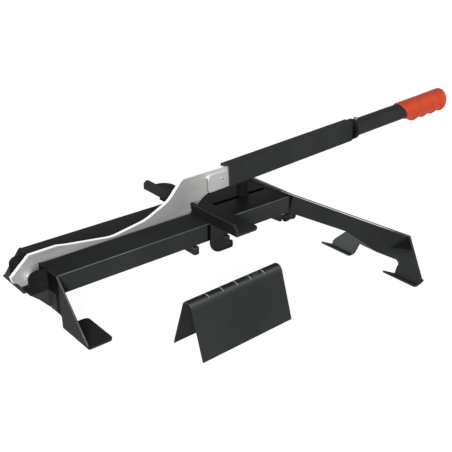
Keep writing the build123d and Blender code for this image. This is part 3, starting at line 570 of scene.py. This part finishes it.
# Rounding of the solids
def clean_copy(node):
    """A merged copy of a node's mesh with its flat faces joined."""
    mesh = bpy.data.meshes.new(node + "_finish")
    work = bmesh.new()
    work.from_mesh(frame["nodes"][node].data)
    bmesh.ops.remove_doubles(work, verts=work.verts, dist=MERGE_DISTANCE)
    bmesh.ops.dissolve_limit(
        work, angle_limit=math.radians(FLAT_ANGLE),
        verts=work.verts, edges=work.edges, delimit=set(),
    )
    work.to_mesh(mesh)
    work.free()
    for name in ("custom_normal", "sharp_face", "sharp_edge"):
        if name in mesh.attributes:
            mesh.attributes.remove(mesh.attributes[name])
    return mesh


def rounded(node, face, edge, width, *special):
    """A node with its sharp edges rounded in the edge finish.

    Each special pair holds a test of faces and the finish for those that pass it.
    """
    mesh = clean_copy(node)
    edge_slot, special_slots = 1, 2
    for material in (face, edge, *(finish for test, finish in special)):
        mesh.materials.append(material)
    for polygon in mesh.polygons:
        polygon.use_smooth = True
        for slot, (test, finish) in enumerate(special, start=special_slots):
            if test(polygon):
                polygon.material_index = slot
    piece = add_object(node + "_finish", mesh)
    bevel = piece.modifiers.new("edge_rounding", "BEVEL")
    bevel.width = width
    bevel.segments = ROUND_SEGMENTS
    bevel.limit_method = "ANGLE"
    bevel.angle_limit = math.radians(ROUND_FROM_ANGLE)
    bevel.harden_normals = True
    bevel.material = edge_slot
    settle(piece)
    stand_for(piece, node)


# Tests that pick faces for a finish of their own
def facing(direction, least):
    """A test for faces that look along a direction at least this nearly."""
    return lambda face: face.normal.dot(direction) > least


def is_front_corner(face):
    """Rounded corner between a beam's top and its front."""
    return 0.5 < face.normal.z < 0.87 and face.normal.y < -0.3


def is_slanted_edge(face):
    """Upper cut edge of the left end plate's slanted legs."""
    return face.normal.z > 0.3 and abs(face.normal.y) > 0.3 and abs(face.normal.x) < 0.1


def is_leg_rim(face):
    """Upper cut edge of the right leg."""
    return face.normal.z > 0.8 and face.center.z > 0.05


def is_leg_apron(face):
    """Middle part of the right leg that leans to the left."""
    return face.normal.x < -0.8 and face.normal.z < -0.3 and face.center.y > -0.12


def is_slit(face):
    """Cut wall of a slit across the support's ridge."""
    return abs(face.normal.x) > 0.9 and face.center.z > 0.055 and face.area < 1e-4


def is_blade_edge(face):
    """Any face of the blade but its two sides."""
    return abs(face.normal.y) < 0.999


class CUTTER_OT_frame(bpy.types.Operator):
    """Dress the beams, end plates, brackets and the right leg"""

    bl_idname = "cutter.frame"
    bl_label = "Steel frame"

    def beams(self, width):
        """Beams with the handle's soft shadow painted on top and painted shade on the sides along
        the gap.
        """
        # The sides that face into the gap get a deep black as painted shade
        coat, gap_painted_shade = powder_coat(), dull_coat(0.4)
        # Painted highlight along the rounded corner of top and front, brightest at the left end
        corner_greys = [(0.0, 1.9), (0.5, 1.0), (1.0, 0.8)]
        corner = edge_highlight_coat("corner_coat", Fade(RIGHT, BEAM_SPAN, corner_greys))
        # Tops painted darker than the coat, lighter just left of the fence, and with the handle's
        # soft shadow painted from the fence to the right end
        top = powder_coat(0.74, "beam_top_painted_shade", Fade(RIGHT, BEAM_SPAN, [
            (0.0, 1.0), (0.24, 1.0), (0.46, 1.45), (0.6, 1.5),
            (0.65, 1.3), (0.73, 0.48), (1.0, 0.48),
        ]))
        # Fronts with a painted shadow line just left of the hook and painted light to its right
        front = powder_coat(
            1.0, "beam_front_painted_light",
            Fade(RIGHT, HOOK_SHADOW_LINE, [(0.0, 1.0), (0.2, 0.05), (0.9, 0.05), (1.0, 1.0)]),
            Fade(RIGHT, RIGHT_OF_HOOK, [(0.0, 1.0), (0.5, 1.35), (1.0, 1.25)]),
        )
        # Rear beam's top painted darker than the coat, with a painted shadow right of the fence
        rear_shadow = Fade(RIGHT, FENCE_TO_SHADOW, [(0.0, 1.0), (1.0, 0.55)])
        rear_top = powder_coat(0.56, "rear_top_painted_shade", rear_shadow)
        rounded(
            "front_beam", coat, coat, width,
            (is_front_corner, corner), (facing(REAR, 0.3), gap_painted_shade),
            (facing(UP, 0.9), top), (facing(FRONT, 0.9), front),
        )
        rounded(
            "rear_beam", coat, coat, width,
            (facing(FRONT, 0.9), gap_painted_shade), (facing(UP, 0.9), rear_top),
        )

    def left_end_plate(self, width):
        """Left end plate with painted shade in a strip beside each gusset and in a block between
        the brackets above.
        """
        # Painted shade on the left face: dark strips beside the gussets, and a dark block between
        # the brackets above their shelf
        strips = [(0.0, 1.0), (0.009, 1.0), (0.019, 0.09), (0.09, 0.09), (0.099, 1.0)]
        strips += [(1 - place, amount) for place, amount in reversed(strips)]
        above = Fade(UP, BRACKET_SHELF, [(0.0, 1.0), (1.0, 0.12)])
        block = [(0.0, 1.0), (0.09, 1.0), (0.099, 0.12), (0.901, 0.12), (0.91, 1.0)]
        side = powder_coat(
            1.0, "bracket_side_painted_shade",
            Fade(REAR, BRACKET_SPAN, strips), Fade(REAR, BRACKET_SPAN, block, unless=above),
        )
        # Upper edges of the slanted legs get the painted edge highlight
        rounded(
            "left_end_plate", powder_coat(), powder_coat(), width,
            (is_slanted_edge, edge_highlight_coat()), (facing(LEFT, 0.98), side),
        )

    def right_leg(self, width):
        """Right leg with a painted highlight on its rim, painted light on the apron and painted
        shade on its left side.
        """
        # Painted shade on the left face: dark in the corner by the beam, darker towards the front
        # end and in a patch near it, but not along the lowest edge
        low_part = Fade(ABOVE_LEG_EDGE, LEG_LOW_PART, [(0.0, 1.0), (1.0, 0.6)])
        low_edge = Fade(ABOVE_LEG_EDGE, LEG_LOW_EDGE, [(0.0, 1.0), (1.0, 0.28)])
        whole = [(0.0, 0.68), (0.35, 0.86), (0.6, 0.98), (1.0, 1.12)]
        corner = [(0.0, 1.0), (0.06, 0.15), (0.6, 0.15), (0.85, 1.0)]
        side = powder_coat(
            1.0, "leg_side_painted_shade",
            Fade(ACROSS_LEG_CORNER, LEG_CORNER, corner),
            Fade(REAR, LEG_SPAN, whole, unless=low_part),
            Fade(ACROSS_LEG_PATCH, LEG_PATCH, [(0.0, 0.28), (1.0, 1.0)], unless=low_edge),
        )
        rounded(
            # The apron gets painted light, and the rim a painted highlight
            "right_leg", powder_coat(), dull_coat(), 2 * width,
            (is_leg_rim, rim_painted_highlight()), (is_leg_apron, powder_coat(2.7, "apron_painted_light")),
            (facing(LEFT, 0.98), side),
        )

    def execute(self, context):
        width = sizes().edge_round
        self.beams(width)
        self.left_end_plate(width)
        self.right_leg(width)
        rounded("right_end_plate", powder_coat(), powder_coat(), width)
        # Gussets painted lighter than the coat as lit faces; these and the ears, ties and strap
        # get the painted edge highlight on cut edges
        rounded("bracket_gussets", powder_coat(1.4, "gusset_painted_light"), edge_highlight_coat(), width)
        for node in ("end_ears", "cross_ties", "bumper_strap"):
            rounded(node, powder_coat(), edge_highlight_coat(), width)
        for node in ("front_pivot_bracket", "rear_pivot_bracket"):
            rounded(node, dull_coat(1.35), dull_coat(1.35), width)
        return {"FINISHED"}


class CUTTER_OT_fence(bpy.types.Operator):
    """Dress the fence and its hooks"""

    bl_idname = "cutter.fence"
    bl_label = "Fence and hooks"

    def execute(self, context):
        width = sizes().edge_round
        left = facing(LEFT, 0.9)
        low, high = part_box("fence")
        span = (low[1], high[1])
        coat_greys = [(0.0, 0.85), (0.2, 0.58), (0.62, 0.52), (1.0, 0.48)]
        coat = powder_coat(1.0, "fence_coat", Fade(REAR, span, coat_greys))
        # Painted shade on the fence wall, with its front end left lit
        wall_greys = [(0.0, 0.34), (0.62, 0.34), (0.75, 1.05)]
        wall = powder_coat(1.0, "fence_wall_painted_shade", Fade(REAR, span, wall_greys))
        # Lighter edges of the fence as a painted highlight
        rounded("fence", coat, dull_coat(5.0), width, (left, wall))
        for node in ("front_fence_hook", "rear_fence_hook"):
            # Left faces of the hooks near black as a painted shadow
            rounded(node, dull_coat(2.5), dull_coat(2.5), width, (left, dull_coat(0.1)))
        return {"FINISHED"}


class CUTTER_OT_support(bpy.types.Operator):
    """Dress the loose folded support"""

    bl_idname = "cutter.support"
    bl_label = "Folded support"

    def execute(self, context):
        # Painted highlight stripe below the ridge's top, which is painted dark; slit walls get a
        # painted highlight and faces turned down a painted shade
        coat = powder_coat(1.3, "support_painted_highlight", Fade(UP, RIDGE_SPAN, [
            (0.0, 0.82), (0.18, 1.0), (0.33, 1.05), (0.46, 1.25), (0.58, 1.75), (0.69, 2.45),
            (0.785, 2.35), (0.87, 1.5), (0.94, 0.7), (0.987, 0.5), (1.0, 0.42),
        ]))
        rounded(
            "v_support", coat, coat, sizes().fine_round,
            (is_slit, brushed_blade(2.2)), (facing(DOWN, 0.2), dull_coat(2.2)),
        )
        return {"FINISHED"}


class CUTTER_OT_blade(bpy.types.Operator):
    """Dress the blade and the side bars on its tang"""

    bl_idname = "cutter.blade"
    bl_label = "Blade and side bars"

    def execute(self, context):
        rounded(
            "blade", brushed_blade(), ground_edge(), sizes().fine_round,
            (is_blade_edge, ground_edge()),
        )
        for node in ("front_side_bar", "rear_side_bar"):
            # Faces a little lighter, top faces a painted highlight and left ends a painted shade
            rounded(
                node, brushed_blade(1.1), ground_edge(), SIDE_BAR_ROUND,
                (facing(UP, 0.2), brushed_blade(2.2)), (facing(LEFT, 0.9), brushed_blade(0.6)),
            )
        return {"FINISHED"}


class CUTTER_OT_pivot(bpy.types.Operator):
    """Dress the pivot pin, spacers and rivet"""

    bl_idname = "cutter.pivot"
    bl_label = "Pivot"

    def execute(self, context):
        rounded("pivot_pin", dull_coat(1.6), dull_coat(1.6), sizes().edge_round)
        for node in ("pivot_spacers", "bar_rivet"):
            rounded(node, bright_zinc(), bright_zinc(), sizes().fine_round)
        return {"FINISHED"}


class CUTTER_OT_handle(bpy.types.Operator):
    """Dress the channel, tube, spigot, button and its spring"""

    bl_idname = "cutter.handle"
    bl_label = "Handle"

    def execute(self, context):
        width = sizes().fine_round
        coat = powder_coat(1.08, "handle_coat")
        for node in ("handle_channel", "handle_tube"):
            # Cut edges get the painted edge highlight
            rounded(node, coat, edge_highlight_coat(), width)
        # Painted shadow at the channel's end, over the left part of the collar
        collar_greys = [(0.0, 0.2), (0.5, 0.25), (0.62, 1.0)]
        collar = powder_coat(1.0, "collar_painted_shadow", Fade(RIGHT, COLLAR_SPAN, collar_greys))
        rounded("handle_spigot", collar, collar, width)
        rounded("button_spring", black_oxide(), black_oxide(), width / 3)
        rounded("lock_button", polished_button(), polished_button(), width / 2)
        return {"FINISHED"}


class CUTTER_OT_bumper(bpy.types.Operator):
    """Dress the bumper post"""

    bl_idname = "cutter.bumper"
    bl_label = "Bumper"

    def execute(self, context):
        rounded("bumper", moulded_rubber(), moulded_rubber(), sizes().edge_round)
        return {"FINISHED"}


# Geometry node building
class Field:
    """A value in a node tree that can be added, multiplied and so on."""

    def __init__(self, tree, socket):
        self.tree = tree
        self.socket = socket

    def work(self, operation, *others):
        """The result of a math node on this value and others."""
        node = self.tree.nodes.new("ShaderNodeMath")
        node.operation = operation
        for socket, value in zip(node.inputs, (self, *others)):
            connect(self.tree, value, socket)
        return Field(self.tree, node.outputs[0])

    def __add__(self, other):
        return self.work("ADD", other)

    __radd__ = __add__

    def __sub__(self, other):
        return self.work("SUBTRACT", other)

    def __mul__(self, other):
        return self.work("MULTIPLY", other)

    def __truediv__(self, other):
        return self.work("DIVIDE", other)

    def least(self, other):
        return self.work("MINIMUM", other)

    def most(self, other):
        return self.work("MAXIMUM", other)

    def rest(self):
        """What is left to 1."""
        return self * -1.0 + 1.0


def connect(tree, value, socket):
    """Link a field or an output to a socket, or set a plain value."""
    if isinstance(value, Field):
        value = value.socket
    if isinstance(value, bpy.types.NodeSocket):
        tree.links.new(value, socket)
    else:
        socket.default_value = value


class ShapeTree:
    """A geometry node tree with named inputs, ended in realised instances and a material."""

    def __init__(self, name, inputs):
        self.group = bpy.data.node_groups.new(name, "GeometryNodeTree")
        self.group.is_modifier = True
        self.values = inputs
        self.ids = {}
        sockets = self.group.interface
        sockets.new_socket(name="Geometry", in_out="OUTPUT", socket_type="NodeSocketGeometry")
        for label, value in inputs.items():
            kind = "NodeSocketInt" if isinstance(value, int) else "NodeSocketFloat"
            item = sockets.new_socket(name=label, in_out="INPUT", socket_type=kind)
            self.ids[label] = item.identifier
        self.source = self.group.nodes.new("NodeGroupInput")

    def __getitem__(self, label):
        return Field(self.group, self.source.outputs[label])

    def add(self, kind, **inputs):
        """A new node with its inputs linked or set; _ stands for a space in their names."""
        node = self.group.nodes.new(kind)
        for name, value in inputs.items():
            connect(self.group, value, node.inputs[name.replace("_", " ")])
        return node

    def vector(self, x, y, z):
        """A vector of three values."""
        return self.add("ShaderNodeCombineXYZ", X=x, Y=y, Z=z).outputs[0]

    def raised(self, geometry, height):
        """Geometry moved up along Z."""
        offset = self.vector(0.0, 0.0, height)
        node = self.add("GeometryNodeTransform", Geometry=geometry, Translation=offset)
        return node.outputs["Geometry"]

    def cylinder(self, vertices, radius, depth, base):
        """Cylinder along Z that starts at height base."""
        node = self.add("GeometryNodeMeshCylinder", Vertices=vertices, Radius=radius, Depth=depth)
        return self.raised(node.outputs["Mesh"], base + depth * 0.5)

    def frustum(self, vertices, low, high, depth, base):
        """Frustum along Z that starts at height base."""
        node = self.add(
            "GeometryNodeMeshCone", Vertices=vertices,
            Radius_Top=high, Radius_Bottom=low, Depth=depth,
        )
        return self.raised(node.outputs["Mesh"], base)

    def box(self, x, y, z, base):
        """Box centred on Z that starts at height base."""
        node = self.add("GeometryNodeMeshCube", Size=self.vector(x, y, z))
        return self.raised(node.outputs["Mesh"], base + z * 0.5)

    def boolean(self, operation, body, *tools):
        """Tools taken from a body, or the body and tools united or intersected."""
        node = self.add("GeometryNodeMeshBoolean")
        node.operation = operation
        node.solver = "EXACT"
        first = "Mesh 1" if operation == "DIFFERENCE" else "Mesh 2"
        self.group.links.new(body, node.inputs[first])
        for tool in tools:
            self.group.links.new(tool, node.inputs["Mesh 2"])
        return node.outputs["Mesh"]

    def join(self, *shapes):
        """Shapes side by side in one geometry."""
        node = self.add("GeometryNodeJoinGeometry")
        for shape in shapes:
            self.group.links.new(shape, node.inputs["Geometry"])
        return node.outputs["Geometry"]

    def row(self, shape):
        """Count copies of a shape along X at the Spacing, the first at the origin."""
        offset = self.vector(self["Spacing"], 0.0, 0.0)
        line = self.add("GeometryNodeMeshLine", Count=self["Count"], Offset=offset)
        copies = self.add(
            "GeometryNodeInstanceOnPoints", Points=line.outputs["Mesh"], Instance=shape
        )
        return copies.outputs["Instances"]

    def end(self, geometry, material):
        """Realise and paint the geometry, and send it out."""
        real = self.add("GeometryNodeRealizeInstances", Geometry=geometry)
        paint = self.add(
            "GeometryNodeSetMaterial", Geometry=real.outputs["Geometry"], Material=material
        )
        self.add("NodeGroupOutput", Geometry=paint.outputs["Geometry"])

    def make(self, name, place):
        """Run the tree once and give the plain mesh object, set in its place."""
        piece = add_object(name, bpy.data.meshes.new(name))
        modifier = piece.modifiers.new(name, "NODES")
        modifier.node_group = self.group
        for label, value in self.values.items():
            modifier[self.ids[label]] = value
        settle(piece)
        piece.data.transform(place)
        if not piece.data.polygons:
            raise RuntimeError(name + " came out empty")
        return piece

    def make_fasteners(self, name, place, node):
        """Make fasteners with sharp corners, in place of a node."""
        piece = self.make(name, place)
        piece.data.shade_smooth()
        piece.data.set_sharp_from_angle(angle=math.radians(FASTENER_ANGLE))
        stand_for(piece, node)


def bolt_tree(name, inputs, material):
    """Bolts with a chamfered head that starts at height 0 and a threaded shank above it."""
    bolt = ShapeTree(name, inputs)
    corners, head, chamfer = bolt["Head Corners"], bolt["Head Radius"], bolt["Chamfer"]
    head_height, length = bolt["Head Height"], bolt["Shank Length"]
    ridge, thread = bolt["Pitch"] * THREAD_RIDGE, bolt["Thread Length"]
    core = bolt["Shank Radius"] - ridge
    spiral = bolt.add(
        "GeometryNodeCurveSpiral", Resolution=THREAD_TURN, Rotations=thread / bolt["Pitch"],
        Start_Radius=core, End_Radius=core, Height=thread,
    )
    profile = bolt.add(
        "GeometryNodeCurvePrimitiveCircle", Resolution=THREAD_PROFILE, Radius=ridge
    )
    sweep = bolt.add(
        "GeometryNodeCurveToMesh", Curve=spiral.outputs["Curve"],
        Profile_Curve=profile.outputs["Curve"], Fill_Caps=True,
    )
    shape = bolt.join(
        bolt.cylinder(corners, head, head_height - chamfer, chamfer),
        bolt.frustum(corners, head - chamfer, head, chamfer, 0.0),
        bolt.cylinder(ROUND_SHANK, core, length, head_height),
        bolt.raised(sweep.outputs["Mesh"], head_height + length - thread - ridge),
    )
    bolt.end(bolt.row(shape), material)
    return bolt


class CUTTER_OT_leg_bolts(bpy.types.Operator):
    """Make the round head bolts and the nuts that hold the right leg"""

    bl_idname = "cutter.leg_bolts"
    bl_label = "Leg bolts and nuts"

    def nuts(self, head, spacing, thickness):
        """Hexagon nuts, chamfered by a double cone."""
        nut = ShapeTree("hex_nuts", {
            "Count": 2, "Spacing": spacing, "Radius": head, "Height": thickness,
            "Bore": 0.00303, "Chamfer": 0.0007,
        })
        radius, height, chamfer = nut["Radius"], nut["Height"], nut["Chamfer"]
        waist, wide = chamfer * 2, radius + chamfer * 2
        lower = nut.frustum(NUT_CONE, radius - chamfer, wide, waist, 0.0)
        upper = nut.frustum(NUT_CONE, wide, radius - chamfer, height - waist, waist)
        cones = nut.boolean("UNION", lower, upper)
        prism = nut.boolean("INTERSECT", nut.cylinder(HEXAGON, radius, height, 0.0), cones)
        bore = nut.cylinder(NUT_BORE, nut["Bore"], height * 3, height * -1.0)
        nut.end(nut.row(nut.boolean("DIFFERENCE", prism, bore)), dull_coat())
        return nut

    def execute(self, context):
        low, high = node_box("leg_bolts")
        nut_low, nut_high = node_box("leg_nuts")
        head = (high.z - low.z) / 2
        spacing = high.y - low.y - 2 * head
        first = Vector((low.x, low.y + head, (low.z + high.z) / 2))
        bolts = bolt_tree("round_bolts", {
            "Count": 2, "Spacing": spacing, "Head Corners": ROUND_HEAD, "Head Radius": head,
            "Head Height": LEG_BOLT_HEAD, "Chamfer": 0.0009,
            "Shank Radius": 0.003, "Shank Length": high.x - low.x - LEG_BOLT_HEAD,
            "Thread Length": 0.008, "Pitch": sizes().thread_pitch,
        }, dull_coat(2.0))
        bolts.make_fasteners("leg_bolts_turned", placed(first, REAR, RIGHT), "leg_bolts")
        first.x = nut_low.x
        nuts = self.nuts(head, spacing, nut_high.x - nut_low.x)
        nuts.make_fasteners("leg_nuts_chamfered", placed(first, REAR, RIGHT), "leg_nuts")
        return {"FINISHED"}


class CUTTER_OT_screws(bpy.types.Operator):
    """Make the sunk handle screws, the spigot screw and the bumper's screw"""

    bl_idname = "cutter.screws"
    bl_label = "Screws"

    def cross_screws(self, name, node, count, spacing, whole, place):
        """Flat headed screws with a cross slot, in place of a node."""
        screw = ShapeTree(name, {
            "Count": count, "Spacing": spacing,
            "Head Radius": CROSS_SCREW_RADIUS, "Head Height": 0.0015,
            "Shank Radius": 0.0025, "Length": whole, "Slot": 0.0011, "Slot Reach": 0.0042,
        })
        height, slot, reach = screw["Head Height"], screw["Slot"], screw["Slot Reach"]
        below = height * SLOT_START
        head = screw.boolean(
            "DIFFERENCE", screw.cylinder(ROUND_HEAD, screw["Head Radius"], height, 0.0),
            screw.box(slot, reach, height, below), screw.box(reach, slot, height, below),
        )
        length = screw["Length"] - height
        shank = screw.cylinder(ROUND_SHANK, screw["Shank Radius"], length, height)
        screw.end(screw.row(screw.join(head, shank)), black_oxide())
        screw.make_fasteners(name, place, node)

    def execute(self, context):
        radius = CROSS_SCREW_RADIUS
        low, high = node_box("handle_screws")
        first = Vector((low.x + radius, high.y, low.z + radius))
        spacing = (high.x - low.x - 2 * radius) / HANDLE_ALONG.x
        place = placed(first, HANDLE_ALONG, FRONT)
        self.cross_screws(
            "handle_screws_cross", "handle_screws", 2, spacing, high.y - low.y, place
        )
        low, high = node_box("spigot_screw")
        length = (high.z - low.z - 2 * radius * abs(HANDLE_ABOVE.x)) / HANDLE_ABOVE.z
        bottom = node_middle("spigot_screw") - HANDLE_ABOVE * (length / 2)
        place = placed(bottom, HANDLE_ALONG, HANDLE_ABOVE)
        self.cross_screws("spigot_screw_cross", "spigot_screw", 1, 0.0, length, place)
        low, high = node_box("bumper_screw")
        bumper_screw = bolt_tree("hexagon_screw", {
            "Count": 1, "Spacing": 0.0, "Head Corners": HEXAGON,
            "Head Radius": (high.x - low.x) / 2,
            "Head Height": BUMPER_SCREW_HEAD, "Chamfer": 0.0006,
            "Shank Radius": 0.0025, "Shank Length": high.z - low.z - BUMPER_SCREW_HEAD,
            "Thread Length": 0.014, "Pitch": sizes().thread_pitch * FINE_THREAD,
        }, black_oxide())
        bottom = node_middle("bumper_screw")
        bottom.z = low.z
        bumper_screw.make_fasteners(
            "bumper_screw_hexagon", placed(bottom, RIGHT, UP), "bumper_screw"
        )
        return {"FINISHED"}


class CUTTER_OT_grip(bpy.types.Operator):
    """Make the moulded grip: ovals whose lower half swells into finger bumps"""

    bl_idname = "cutter.grip"
    bl_label = "Grip"

    def shaped(self, grip, run, angle):
        """Position of a point of the grip, from its share of the way and its angle round it."""
        length, first = grip["Length"], grip["First"]
        thin, thin_below, bump = grip["Thin"], grip["Thin Below"], grip["Bump"]
        cosine, sine = angle.work("COSINE"), angle.work("SINE")

        # Way along the grip, and the flat end closing after it
        travel = run * (length + grip["Cap"])
        way = travel.least(length)
        share = way / length
        closing = ((travel - length).most(0.0) / grip["Cap"]).least(1.0)

        # Outline above the handle's axis, and below it with the finger bumps
        above = thin + (grip["Thick"] - thin) * share
        lead = (way / first).least(1.0).work("POWER", 2.0)
        rise = (lead * math.pi).work("COSINE") * -0.5 + 0.5
        lead_below = thin_below + (bump - thin_below) * rise
        turns = (way - first).most(0.0) / grip["Pitch"]
        wave = (turns * (2 * math.pi)).work("COSINE") - 1.0
        below = lead_below + (bump - grip["Groove"]) * 0.5 * wave

        # Ovals, drawn in over the domed end
        dome = ((way - length + grip["Dome"]) / grip["Dome"]).most(0.0)
        end = grip["Dome Share"]
        size = (dome * dome * (end * end - 1.0) + 1.0).work("SQRT") * closing.rest()
        side = above * size * cosine
        height = (above - below) * 0.5 + (above + below) * 0.5 * size * sine

        # Rounded rim that starts at the tube
        gap = (way / grip["Rim Round"]).least(1.0).rest()
        full = (gap * gap).rest().work("SQRT")
        tube_side, tube_height = grip["Tube"] * cosine, grip["Tube"] * sine
        side = tube_side + (side - tube_side) * full
        height = tube_height + (height - tube_height) * full

        # Slant of the rim, which dies away along the grip
        fade = (share * grip["Slant Fade"]).rest().most(0.0)
        slant = (grip["Rim Back"] - height * grip["Rim Lean"]) * fade * fade
        return grip.vector(way + slant, side, height)

    def execute(self, context):
        size = sizes()
        grip = ShapeTree("finger_grip", {
            "Rows": size.grip_rows, "Segments": size.grip_segments, "Length": size.grip_length,
            "Thin": size.grip_thin, "Thin Below": size.grip_thin * GRIP_OVAL,
            "Thick": size.grip_thick, "Groove": size.grip_groove, "Bump": size.grip_bump,
            "Pitch": size.bump_pitch, "First": size.bump_first,
            "Tube": 0.0135, "Rim Back": 0.010, "Rim Lean": math.tan(math.radians(RIM_LEAN)),
            "Rim Round": 0.0022, "Slant Fade": 2.6,
            "Dome": 0.008, "Dome Share": 0.62, "Cap": 0.011,
        })
        sheet = grip.add(
            "GeometryNodeMeshGrid", Size_X=1.0, Size_Y=1.0,
            Vertices_X=grip["Rows"], Vertices_Y=grip["Segments"],
        )
        position = grip.add("GeometryNodeInputPosition").outputs[0]
        spot = grip.add("ShaderNodeSeparateXYZ", Vector=position)
        run = Field(grip.group, spot.outputs["X"]) + 0.5
        angle = (Field(grip.group, spot.outputs["Y"]) + 0.5) * (2 * math.pi)
        moved = grip.add(
            "GeometryNodeSetPosition", Geometry=sheet.outputs["Mesh"],
            Position=self.shaped(grip, run, angle),
        )
        closed = grip.add(
            "GeometryNodeMergeByDistance", Geometry=moved.outputs["Geometry"],
            Distance=SEAM_DISTANCE,
        )
        grip.end(closed.outputs["Geometry"], soft_grip())
        tube = node_middle("handle_tube")
        high = node_box("grip")[1]
        tip = tube + HANDLE_ALONG * ((high.x - tube.x) / HANDLE_ALONG.x)
        origin = tip - HANDLE_ALONG * (size.grip_length + GRIP_END_INSET)
        piece = grip.make("grip_moulded", placed(origin, HANDLE_ALONG, HANDLE_ABOVE))
        work = bmesh.new()
        work.from_mesh(piece.data)
        bmesh.ops.recalc_face_normals(work, faces=work.faces)
        work.to_mesh(piece.data)
        work.free()
        piece.data.shade_smooth()
        stand_for(piece, "grip")
        return {"FINISHED"}


def white_for_sight(tree):
    """1 for what the camera sees directly, in gloss or through glass, else 0."""
    path = tree.nodes.new("ShaderNodeLightPath")
    seen = path.outputs["Is Camera Ray"]
    for name in ("Is Glossy Ray", "Is Transmission Ray"):
        either = tree.nodes.new("ShaderNodeMath")
        either.operation = "MAXIMUM"
        tree.links.new(seen, either.inputs[0])
        tree.links.new(path.outputs[name], either.inputs[1])
        seen = either.outputs[0]
    return seen


class CUTTER_OT_stage(bpy.types.Operator):
    """Set the floor, lights, world and camera"""

    bl_idname = "cutter.stage"
    bl_label = "Studio"

    def floor(self):
        """Pale paper that keeps the shadow and looks white."""
        mesh = bpy.data.meshes.new("floor")
        far, near = FLOOR_REACH, -FLOOR_REACH
        corners = [(near, near, 0), (far, near, 0), (far, far, 0), (near, far, 0)]
        mesh.from_pydata(corners, [], [(0, 1, 2, 3)])
        material = bpy.data.materials.new("studio_floor")
        material.use_nodes = True
        tree = material.node_tree
        tree.nodes.clear()
        paper = tree.nodes.new("ShaderNodeBsdfDiffuse")
        paper.inputs["Color"].default_value = grey(FLOOR_GREY)
        glow = tree.nodes.new("ShaderNodeEmission")
        glow.inputs["Color"].default_value = grey(1.0)
        strength = carried(tree, white_for_sight(tree), 0.0, 1.0, 0.0, FLOOR_GLOW)
        tree.links.new(strength, glow.inputs["Strength"])
        both = tree.nodes.new("ShaderNodeAddShader")
        tree.links.new(paper.outputs[0], both.inputs[0])
        tree.links.new(glow.outputs[0], both.inputs[1])
        out = tree.nodes.new("ShaderNodeOutputMaterial")
        tree.links.new(both.outputs[0], out.inputs["Surface"])
        mesh.materials.append(material)
        add_object("floor", mesh)

    def world(self):
        """White to the eye, with a low fill light."""
        world = bpy.data.worlds.new("studio")
        world.use_nodes = True
        tree = world.node_tree
        back = tree.nodes["Background"]
        back.inputs["Color"].default_value = grey(1.0)
        strength = carried(tree, white_for_sight(tree), 0.0, 1.0, WORLD_FILL, 1.0)
        tree.links.new(strength, back.inputs["Strength"])
        bpy.context.scene.world = world

    def lamp(self, name, direction, power):
        """A round soft lamp that looks at the cutter from a direction."""
        light = bpy.data.lights.new(name, "AREA")
        light.shape = "DISK"
        light.size = LAMP_SIZE
        light.energy = power
        lamp = add_object(name, light)
        away = Vector(direction).normalized()
        lamp.location = LAMP_AIM + away * LAMP_DISTANCE
        lamp.rotation_euler = away.to_track_quat("Z", "Y").to_euler()

    def camera(self):
        """The photograph's view."""
        data = bpy.data.cameras.new("camera")
        data.lens = CAMERA_LENS
        data.clip_end = CAMERA_REACH
        camera = add_object("camera", data)
        camera.location = CAMERA_AT
        turn, pitch = math.radians(CAMERA_TURN), math.radians(CAMERA_PITCH)
        forward = Vector((
            math.cos(turn) * math.cos(pitch), math.sin(turn) * math.cos(pitch), -math.sin(pitch)
        ))
        camera.rotation_euler = forward.to_track_quat("-Z", "Y").to_euler()
        bpy.context.scene.camera = camera

    def execute(self, context):
        self.floor()
        self.world()
        for name, (direction, power) in LAMPS.items():
            self.lamp(name, direction, power)
        self.camera()
        context.scene.view_settings.view_transform = "Standard"
        return {"FINISHED"}


STEPS = (
    CUTTER_OT_frame, CUTTER_OT_fence, CUTTER_OT_support, CUTTER_OT_blade,
    CUTTER_OT_pivot, CUTTER_OT_handle, CUTTER_OT_bumper, CUTTER_OT_leg_bolts,
    CUTTER_OT_screws, CUTTER_OT_grip, CUTTER_OT_stage,
)


class CUTTER_PT_sidebar(bpy.types.Panel):
    """Lists the cutter's pieces"""

    bl_idname = "CUTTER_PT_sidebar"
    bl_label = "Flooring cutter"
    bl_space_type = "VIEW_3D"
    bl_region_type = "UI"
    bl_category = "Cutter"

    def draw(self, context):
        for group in (context.scene.cutter_sizes, context.scene.cutter_finishes):
            box = self.layout.box()
            for name in group.bl_rna.properties.keys():
                if name not in {"rna_type", "name"}:
                    box.prop(group, name)
        for step in STEPS:
            self.layout.operator(step.bl_idname)


CLASSES = (CutterSizes, CutterFinishes, *STEPS, CUTTER_PT_sidebar)


def register():
    """Register the classes and the sidebar's values."""
    for entry in CLASSES:
        bpy.utils.register_class(entry)
    bpy.types.Scene.cutter_sizes = PointerProperty(type=CutterSizes)
    bpy.types.Scene.cutter_finishes = PointerProperty(type=CutterFinishes)


def unregister():
    """Remove them in the other order."""
    del bpy.types.Scene.cutter_finishes
    del bpy.types.Scene.cutter_sizes
    for entry in reversed(CLASSES):
        bpy.utils.unregister_class(entry)


def main():
    """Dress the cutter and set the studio."""
    register()
    bpy.ops.cutter.frame()
    bpy.ops.cutter.fence()
    bpy.ops.cutter.support()
    bpy.ops.cutter.blade()
    bpy.ops.cutter.pivot()
    bpy.ops.cutter.handle()
    bpy.ops.cutter.bumper()
    bpy.ops.cutter.leg_bolts()
    bpy.ops.cutter.screws()
    bpy.ops.cutter.grip()
    bpy.ops.cutter.stage()


if __name__ == "__main__":
    main()
